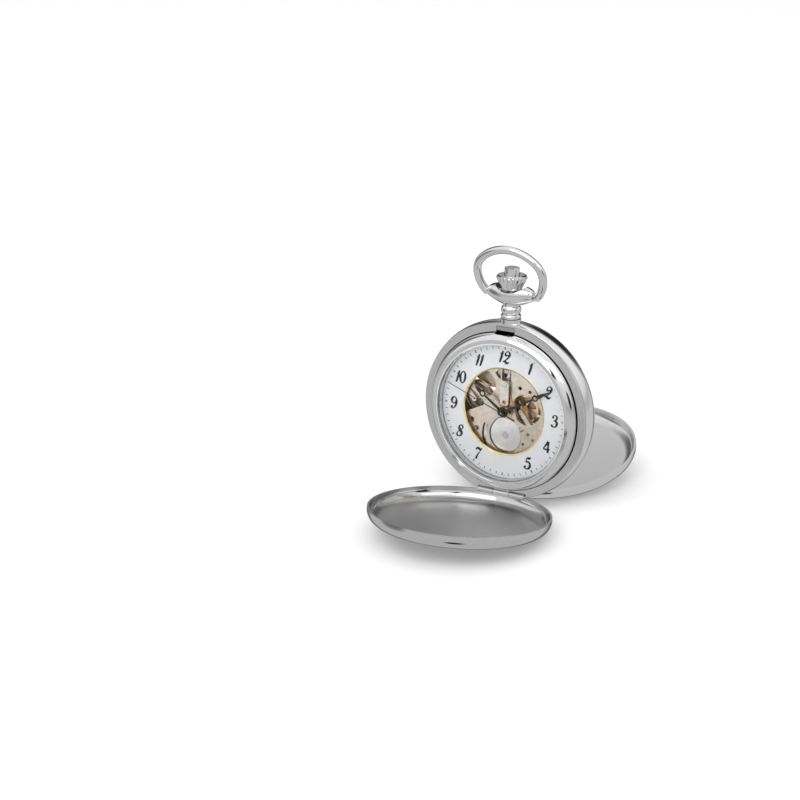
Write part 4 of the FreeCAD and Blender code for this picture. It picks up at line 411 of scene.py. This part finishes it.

# the case and the bezels carry painted shade in the groove between them
finish_node(polished("case_polished_satin_rim", 0.80, front_rim, rim_seam), "case_middle")
finish_node(polished("bezel_polished", 0.74, bezel_wall, bezel_seam), "front_bezel", "rear_bezel")
finish_node(polished("pendant_polished", 0.74), "pendant", "bow", "crown", "release_button")
# the front cover's metal is toned darker than the rear cover's: painted shade for the dim reflection in its
# hollow
finish_node(polished("front_cover_metal", 0.62, facing(FRONT_HOLLOW), circled=False), "front_cover")
finish_node(polished("rear_cover_metal", 0.76, facing(REAR_HOLLOW), circled=False), "rear_cover")
finish_node(steel("spring_steel", 0.50, 0.22), "lock_spring", "lift_spring", "front_latch", "pull_ring")
finish_node(steel("hinge_steel", 0.66, 0.14, ALONG_PIN), "front_hinge_pin", "rear_hinge_pin")
finish_node(steel("stem_steel", 0.66, 0.20, ALONG_STEM), "winding_stem", "winding_pinion",
            "sliding_pinion")
finish_node(steel("lever_steel", 0.58, 0.26), "setting_lever", "yoke", "setting_spring", "click",
            "click_spring")
finish_node(steel("wheel_steel", 0.64, 0.20, (6.0, 6.0, 6.0)), "ratchet_wheel", "crown_wheel",
            "transmission_wheel", "barrel_arbor")
finish_node(steel("fork_steel", 0.60, 0.16), "pallet_fork", "cannon_pinion")
finish_node(steel("screw_steel", 0.55, 0.18, (10.0, 10.0, 10.0)), "bridge_screws", "dial_side_screws",
            "case_screws", "crown_wheel_screw")
finish_node(steel("spring_blue_grey", 0.42, 0.25), "hairspring", "mainspring")
finish_node(steel("barrel_nickel", 0.80, 0.20, (7.0, 7.0, 7.0), 0.015), "barrel")
finish_node(gilt("ring_gilt", (0.86, 0.64, 0.26)), "dial_aperture_ring")
finish_node(gilt("centre_gilt", (0.83, 0.60, 0.27)), "centre_wheel", "fourth_wheel", "hour_wheel")
finish_node(gilt("third_gilt", (0.86, 0.58, 0.28), arbor("third_turn")), "third_wheel")
finish_node(gilt("minute_gilt", (0.84, 0.50, 0.26), arbor("minute_wheel_turn")), "minute_wheel")
finish_node(gilt("escape_gilt", (0.84, 0.62, 0.30), arbor("escape_turn")), "escape_wheel")
finish_node(gilt("balance_gilt", (0.86, 0.66, 0.36), arbor("balance_swing")), "balance_wheel")
finish_node(plating("plate_champagne", (0.72, 0.63, 0.54)), "mainplate", "movement_ring")
finish_node(plating("bridge_champagne", (0.58, 0.50, 0.42), STRIPE_SPACING), "barrel_bridge",
            "train_bridge", "balance_cock")
finish_node(plating("cock_pale", (0.76, 0.70, 0.62)), "pallet_bridge", "minute_wheel_cock")
finish_node(lacquer("hands_black"), "hour_hand", "minute_hand", "seconds_hand")
finish_node(dial_finish(), "dial")
finish_node(crystal(), "front_crystal", "rear_crystal")
finish_node(rubber(), "front_gasket", "rear_gasket")
finish_node(ruby(), "jewels")


# ---------------------------------------------------------------- printed numerals and minute track

PRINT_HEIGHT = 0.02          # the ink stands this far above the dial
PRINT_SINK = 0.01            # and starts this far inside it
NUMERAL_RADIUS = 15.35       # to the middle of each numeral
NUMERAL_HEIGHT = 3.3
NUMERAL_SLANT = 0.24
UPRIGHT_SLANT = 0.08
UPRIGHT_DIGITS = "03459"
DIGIT_GAP = 0.13             # between two digits, as a share of their height
HAIR, STROKE, SWELL = 0.10, 0.16, 0.225   # line widths, as shares of the height

# Each digit has its width and its strokes: points (x, y, line width) that a smooth line runs through, in a
# box one unit high.
DIGITS = {
    "0": (0.50, [
        [(0.25, 1.0, HAIR), (0.05, 0.72, STROKE), (0.03, 0.45, SWELL), (0.09, 0.12, STROKE),
         (0.25, 0.0, HAIR), (0.41, 0.18, STROKE), (0.47, 0.5, SWELL), (0.43, 0.85, STROKE),
         (0.25, 1.0, HAIR)],
    ]),
    "1": (0.22, [
        [(0.0, 0.74, HAIR), (0.12, 0.86, HAIR), (0.2, 1.0, HAIR)],
        [(0.16, 1.0, STROKE), (0.15, 0.5, SWELL), (0.11, 0.0, STROKE)],
    ]),
    "2": (0.56, [
        [(0.16, 0.66, SWELL), (0.09, 0.74, STROKE), (0.12, 0.92, HAIR), (0.3, 1.0, HAIR),
         (0.46, 0.88, STROKE), (0.48, 0.68, SWELL), (0.38, 0.44, STROKE), (0.2, 0.22, HAIR),
         (0.04, 0.08, HAIR)],
        [(0.04, 0.08, HAIR), (0.16, 0.17, STROKE), (0.34, 0.04, SWELL), (0.48, 0.02, STROKE),
         (0.58, 0.14, HAIR)],
        [(0.2, 0.6, HAIR), (0.3, 0.7, HAIR), (0.42, 0.62, HAIR)],
    ]),
    "3": (0.50, [
        [(0.08, 0.8, SWELL), (0.14, 0.95, HAIR), (0.28, 1.0, HAIR), (0.42, 0.9, STROKE),
         (0.42, 0.7, STROKE), (0.3, 0.56, HAIR), (0.18, 0.54, HAIR)],
        [(0.18, 0.54, HAIR), (0.36, 0.52, STROKE), (0.48, 0.34, SWELL), (0.42, 0.1, STROKE),
         (0.24, 0.0, HAIR), (0.06, 0.06, STROKE), (0.05, 0.2, SWELL)],
    ]),
    "4": (0.60, [
        [(0.4, 1.0, SWELL), (0.2, 0.66, STROKE), (0.0, 0.32, HAIR)],
        [(0.0, 0.32, HAIR), (0.3, 0.3, STROKE), (0.6, 0.34, HAIR)],
        [(0.4, 1.0, SWELL), (0.42, 0.5, STROKE), (0.42, 0.02, SWELL)],
    ]),
    "5": (0.52, [
        [(0.16, 0.98, HAIR), (0.34, 0.93, SWELL), (0.52, 1.02, HAIR)],
        [(0.16, 0.98, HAIR), (0.12, 0.74, HAIR), (0.1, 0.55, HAIR)],
        [(0.1, 0.55, HAIR), (0.28, 0.62, STROKE), (0.46, 0.48, STROKE), (0.48, 0.24, SWELL),
         (0.36, 0.03, STROKE), (0.18, 0.0, HAIR), (0.04, 0.08, STROKE), (0.05, 0.2, SWELL)],
    ]),
    "7": (0.50, [
        [(0.02, 0.78, HAIR), (0.06, 0.95, STROKE), (0.2, 0.97, SWELL), (0.36, 0.88, STROKE),
         (0.52, 1.0, HAIR)],
        [(0.52, 1.0, HAIR), (0.36, 0.62, HAIR), (0.24, 0.3, STROKE), (0.2, 0.0, SWELL)],
    ]),
    "8": (0.50, [
        [(0.42, 0.86, STROKE), (0.26, 1.0, HAIR), (0.1, 0.88, STROKE), (0.12, 0.68, SWELL),
         (0.3, 0.5, SWELL), (0.45, 0.3, SWELL), (0.42, 0.08, STROKE), (0.24, 0.0, HAIR),
         (0.05, 0.1, STROKE), (0.06, 0.32, HAIR), (0.24, 0.52, HAIR), (0.4, 0.7, HAIR),
         (0.42, 0.86, STROKE)],
    ]),
    "9": (0.50, [
        [(0.42, 0.62, HAIR), (0.24, 0.44, HAIR), (0.06, 0.56, STROKE), (0.04, 0.78, SWELL),
         (0.16, 0.97, STROKE), (0.32, 0.98, HAIR), (0.46, 0.8, STROKE), (0.48, 0.52, SWELL),
         (0.4, 0.2, STROKE), (0.2, 0.0, HAIR), (0.06, 0.06, STROKE), (0.08, 0.16, SWELL)],
    ]),
}
DOT_WIDTH = 0.17
# digits that begin or end in a round blob, and its centre
DOT_DIGITS = {"2": (0.16, 0.68), "3": (0.1, 0.79), "5": (0.07, 0.19), "9": (0.1, 0.16)}
CURVE_STEPS = 7
LEAST_WIDTH = 0.001


def smooth_line(points):
    """Points along a Catmull-Rom curve through the given ones, each with its width."""
    closed = points[0] == points[-1]
    ends = (points[-2], points[1]) if closed else (points[0], points[-1])
    around = [ends[0]] + list(points) + [ends[1]]

    def between(a, b, c, d, t):
        square, cube = 2 * a - 5 * b + 4 * c - d, 3 * b - a - 3 * c + d
        return 0.5 * (2 * b + (c - a) * t + square * t * t + cube * t ** 3)

    line = []
    for four in zip(around, around[1:], around[2:], around[3:]):
        for step in range(CURVE_STEPS):
            line.append(tuple(between(*values, step / CURVE_STEPS) for values in zip(*four)))
    return line + [points[-1]]


def ribbon(mesh, line, place):
    """A flat printed line; place turns a point (x, y) of the drawing into the watch's x and y."""
    rows = []
    for index, (x, y, width) in enumerate(line):
        before, after = line[max(index - 1, 0)], line[min(index + 1, len(line) - 1)]
        run = Vector((after[0] - before[0], after[1] - before[1]))
        side = Vector((-run.y, run.x)).normalized() * width / 2
        row = []
        for way in (1, -1):
            flat = place(x + way * side.x, y + way * side.y)
            for level in (PRINT_HEIGHT, -PRINT_SINK):
                row.append(mesh.verts.new(TO_WORLD @ Vector((*flat, DIAL_TOP + level))))
        rows.append(row)
    for first, second in zip(rows, rows[1:]):
        for a, b in ((0, 2), (2, 3), (3, 1), (1, 0)):
            mesh.faces.new((first[a], first[b], second[b], second[a]))
    for row in (rows[0], rows[-1]):
        mesh.faces.new((row[0], row[2], row[3], row[1]))


def disc_line(x, y, width):
    """A short fat stroke that prints as a round blob."""
    turns = [math.radians(angle) for angle in range(-90, 91, 15)]
    return [(x + width / 2 * math.sin(turn), y, width * math.cos(turn) + LEAST_WIDTH) for turn in turns]


def print_piece(name, lines, material):
    """A piece of black print on the dial; lines holds (line, place) pairs."""
    mesh = bmesh.new()
    for line, place in lines:
        ribbon(mesh, line, place)
    bmesh.ops.recalc_face_normals(mesh, faces=mesh.faces)
    data = bpy.data.meshes.new(name)
    mesh.to_mesh(data)
    mesh.free()
    data.materials.append(material)
    piece = bpy.data.objects.new(name, data)
    bpy.context.scene.collection.objects.link(piece)
    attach(piece, "case")


def clock_direction(hour):
    turn = math.radians(30.0 * hour)
    return Vector((math.sin(turn), math.cos(turn)))


def numeral_lines(hour):
    """The lines of one numeral, slanted like handwriting, with the way to its place on the dial."""
    text = str(hour)
    width = sum(DIGITS[digit][0] for digit in text) + DIGIT_GAP * (len(text) - 1)
    middle = clock_direction(hour) * NUMERAL_RADIUS
    lines = []
    start = -width / 2
    for digit in text:
        advance, strokes = DIGITS[digit]
        slant = UPRIGHT_SLANT if digit in UPRIGHT_DIGITS else NUMERAL_SLANT

        def place(x, y, start=start, slant=slant):
            across = start + x + slant * (y - 0.5)
            return middle.x + NUMERAL_HEIGHT * across, middle.y + NUMERAL_HEIGHT * (y - 0.5)

        lines += [(smooth_line(stroke), place) for stroke in strokes]
        if digit in DOT_DIGITS:
            lines.append((disc_line(*DOT_DIGITS[digit], DOT_WIDTH), place))
        start += advance + DIGIT_GAP
    return lines


ink = lacquer("ink_black")
NUMBERED_HOURS = [hour for hour in range(1, 13) if hour != 6]
print_piece("dial_numerals", [line for hour in NUMBERED_HOURS for line in numeral_lines(hour)], ink)

TRACK_INNER = 17.45
TRACK_OUTER = 18.15
MINUTE_WIDTH = 0.17
FIVE_MINUTE_WIDTH = 0.30


def tick_line(minute):
    way = clock_direction(minute / 5)
    width = MINUTE_WIDTH if minute % 5 else FIVE_MINUTE_WIDTH
    return [(way.x * radius, way.y * radius, width) for radius in (TRACK_INNER, TRACK_OUTER)]


def as_drawn(x, y):
    return x, y


print_piece("dial_minute_track", [(tick_line(minute), as_drawn) for minute in range(60)], ink)


# ---------------------------------------------------------------- studio

FLOOR_RADIUS = 4.0          # metres
TENT_RADIUS = 6.0
SENSOR_WIDTH = 36.0


def seen_from(azimuth, elevation):
    """The direction towards a place round the watch; azimuth 0 is in front, 90 is at its right."""
    turn, rise = math.radians(azimuth), math.radians(elevation)
    return Vector((math.sin(turn) * math.cos(rise), -math.cos(turn) * math.cos(rise), math.sin(rise)))


def stage_piece(name, mesh, material):
    data = bpy.data.meshes.new(name)
    mesh.to_mesh(data)
    mesh.free()
    data.materials.append(material)
    piece = bpy.data.objects.new(name, data)
    bpy.context.scene.collection.objects.link(piece)
    return piece


def paper_floor():
    mesh = bmesh.new()
    bmesh.ops.create_circle(mesh, cap_ends=True, segments=96, radius=FLOOR_RADIUS)
    look = Look("paper_white", Specular_IOR_Level=0.1)
    fibre = look.noise(0.4)
    look.set(Base_Color=look.blend(fibre, grey(0.95), grey(0.97)))
    look.set(Roughness=look.spread(fibre, 0.7, 0.9))
    floor = stage_piece("paper_floor", mesh, look.material)
    floor.visible_glossy = False


def white_world():
    """Even white light from all sides."""
    world = bpy.data.worlds.new("white_world")
    world.use_nodes = True
    light = world.node_tree.nodes["Background"].inputs
    light["Color"].default_value = grey(1.0)
    light["Strength"].default_value = 1.0
    bpy.context.scene.world = world


# The tent that polished metal reflects: tones by height, then dark gaps between its panels.
TENT_TONES = ((0.0, 0.60), (0.40, 0.62), (0.50, 0.50), (0.60, 0.80), (0.75, 0.95), (1.0, 1.0))
# azimuth, elevation and half width in degrees, softness as a share of it, and the tone that shows through
TENT_GAPS = [
    (208.0, -20.0, 30.0, 0.5, 0.10),
    (182.0, 22.0, 20.0, 0.5, 0.02),
    (238.0, 24.0, 20.0, 0.5, 0.04),
    (34.0, 33.0, 7.0, 0.25, 0.01),
    (80.0, 10.0, 10.0, 0.3, 0.02),
    (8.0, 58.0, 9.0, 0.25, 0.02),
    (18.0, -52.0, 9.0, 0.25, 0.02),
    (-60.0, -5.0, 18.0, 0.5, 0.22),
]


def tent_material():
    """Tones by height, broken by the dark gaps; it glows and is lit by nothing."""
    material = bpy.data.materials.new("tent_panels")
    material.use_nodes = True
    nodes, links = material.node_tree.nodes, material.node_tree.links
    nodes.remove(nodes["Principled BSDF"])
    glow = nodes.new("ShaderNodeEmission")
    links.new(glow.outputs[0], nodes["Material Output"].inputs["Surface"])
    place = nodes.new("ShaderNodeTexCoord")
    way = nodes.new("ShaderNodeVectorMath")
    way.operation = "NORMALIZE"
    links.new(place.outputs["Object"], way.inputs[0])
    split = nodes.new("ShaderNodeSeparateXYZ")
    links.new(way.outputs[0], split.inputs[0])
    height = nodes.new("ShaderNodeMapRange")
    height.inputs["From Min"].default_value = -1.0
    links.new(split.outputs["Z"], height.inputs["Value"])
    ramp = nodes.new("ShaderNodeValToRGB")
    ramp.color_ramp.interpolation = "EASE"
    while len(ramp.color_ramp.elements) < len(TENT_TONES):
        ramp.color_ramp.elements.new(0.5)
    for stop, (position, tone) in zip(ramp.color_ramp.elements, TENT_TONES):
        stop.position = position
        stop.color = grey(tone)
    links.new(height.outputs["Result"], ramp.inputs[0])
    colour = ramp.outputs[0]
    for azimuth, elevation, half_width, soft, tone in TENT_GAPS:
        dot = nodes.new("ShaderNodeVectorMath")
        dot.operation = "DOT_PRODUCT"
        links.new(way.outputs[0], dot.inputs[0])
        dot.inputs[1].default_value = seen_from(azimuth, elevation)
        fade = nodes.new("ShaderNodeMapRange")
        fade.interpolation_type = "SMOOTHSTEP"
        fade.inputs["From Min"].default_value = math.cos(math.radians(half_width * (1 + soft)))
        fade.inputs["From Max"].default_value = math.cos(math.radians(half_width * (1 - soft)))
        links.new(dot.outputs["Value"], fade.inputs["Value"])
        mix = nodes.new("ShaderNodeMix")
        mix.data_type = "RGBA"
        links.new(fade.outputs["Result"], mix.inputs[0])
        links.new(colour, mix.inputs[6])
        mix.inputs[7].default_value = grey(tone)
        colour = mix.outputs[2]
    links.new(colour, glow.inputs["Color"])
    material.cycles.emission_sampling = "NONE"
    return material


def reflecting_tent():
    """A dome that only reflections see."""
    mesh = bmesh.new()
    bmesh.ops.create_uvsphere(mesh, u_segments=48, v_segments=24, radius=TENT_RADIUS)
    tent = stage_piece("reflecting_tent", mesh, tent_material())
    tent.location = CENTRE
    tent.visible_camera = False
    tent.visible_diffuse = False
    tent.visible_transmission = False
    tent.visible_shadow = False
    tent.visible_volume_scatter = False


def softbox(name, azimuth, elevation, distance, width, height, power):
    """A square of light that faces the watch; sizes in metres, power in watts."""
    data = bpy.data.lights.new(name, "AREA")
    data.shape = "RECTANGLE"
    data.size = width
    data.size_y = height
    data.energy = power
    light = bpy.data.objects.new(name, data)
    way = seen_from(azimuth, elevation)
    light.location = CENTRE + way * distance
    light.rotation_euler = way.to_track_quat("Z", "Y").to_euler()
    bpy.context.scene.collection.objects.link(light)


CAMERA_AZIMUTH = 27.93
CAMERA_ELEVATION = 19.51
CAMERA_ROLL = 0.70
CAMERA_DISTANCE = 0.5371
LENS = 89.04
SHIFT = (-0.136, 0.011)


def camera():
    """Looks from the picture's angle, a little rolled and shifted to frame the watch as it is there."""
    data = bpy.data.cameras.new("camera")
    data.lens = LENS
    data.sensor_width = SENSOR_WIDTH
    data.shift_x, data.shift_y = SHIFT
    data.clip_start = 0.01
    eye = bpy.data.objects.new("camera", data)
    way = seen_from(CAMERA_AZIMUTH, CAMERA_ELEVATION)
    eye.location = CENTRE + way * CAMERA_DISTANCE
    turn = way.to_track_quat("Z", "Y").to_matrix() @ Matrix.Rotation(math.radians(CAMERA_ROLL), 3, "Z")
    eye.rotation_euler = turn.to_euler()
    bpy.context.scene.collection.objects.link(eye)
    bpy.context.scene.camera = eye


paper_floor()
white_world()
reflecting_tent()
softbox("key", 5.0, 50.0, 1.2, 1.0, 0.8, 4.0)
softbox("fill", 70.0, 45.0, 1.3, 0.9, 0.6, 1.0)
camera()
bpy.context.scene.view_settings.view_transform = "Standard"
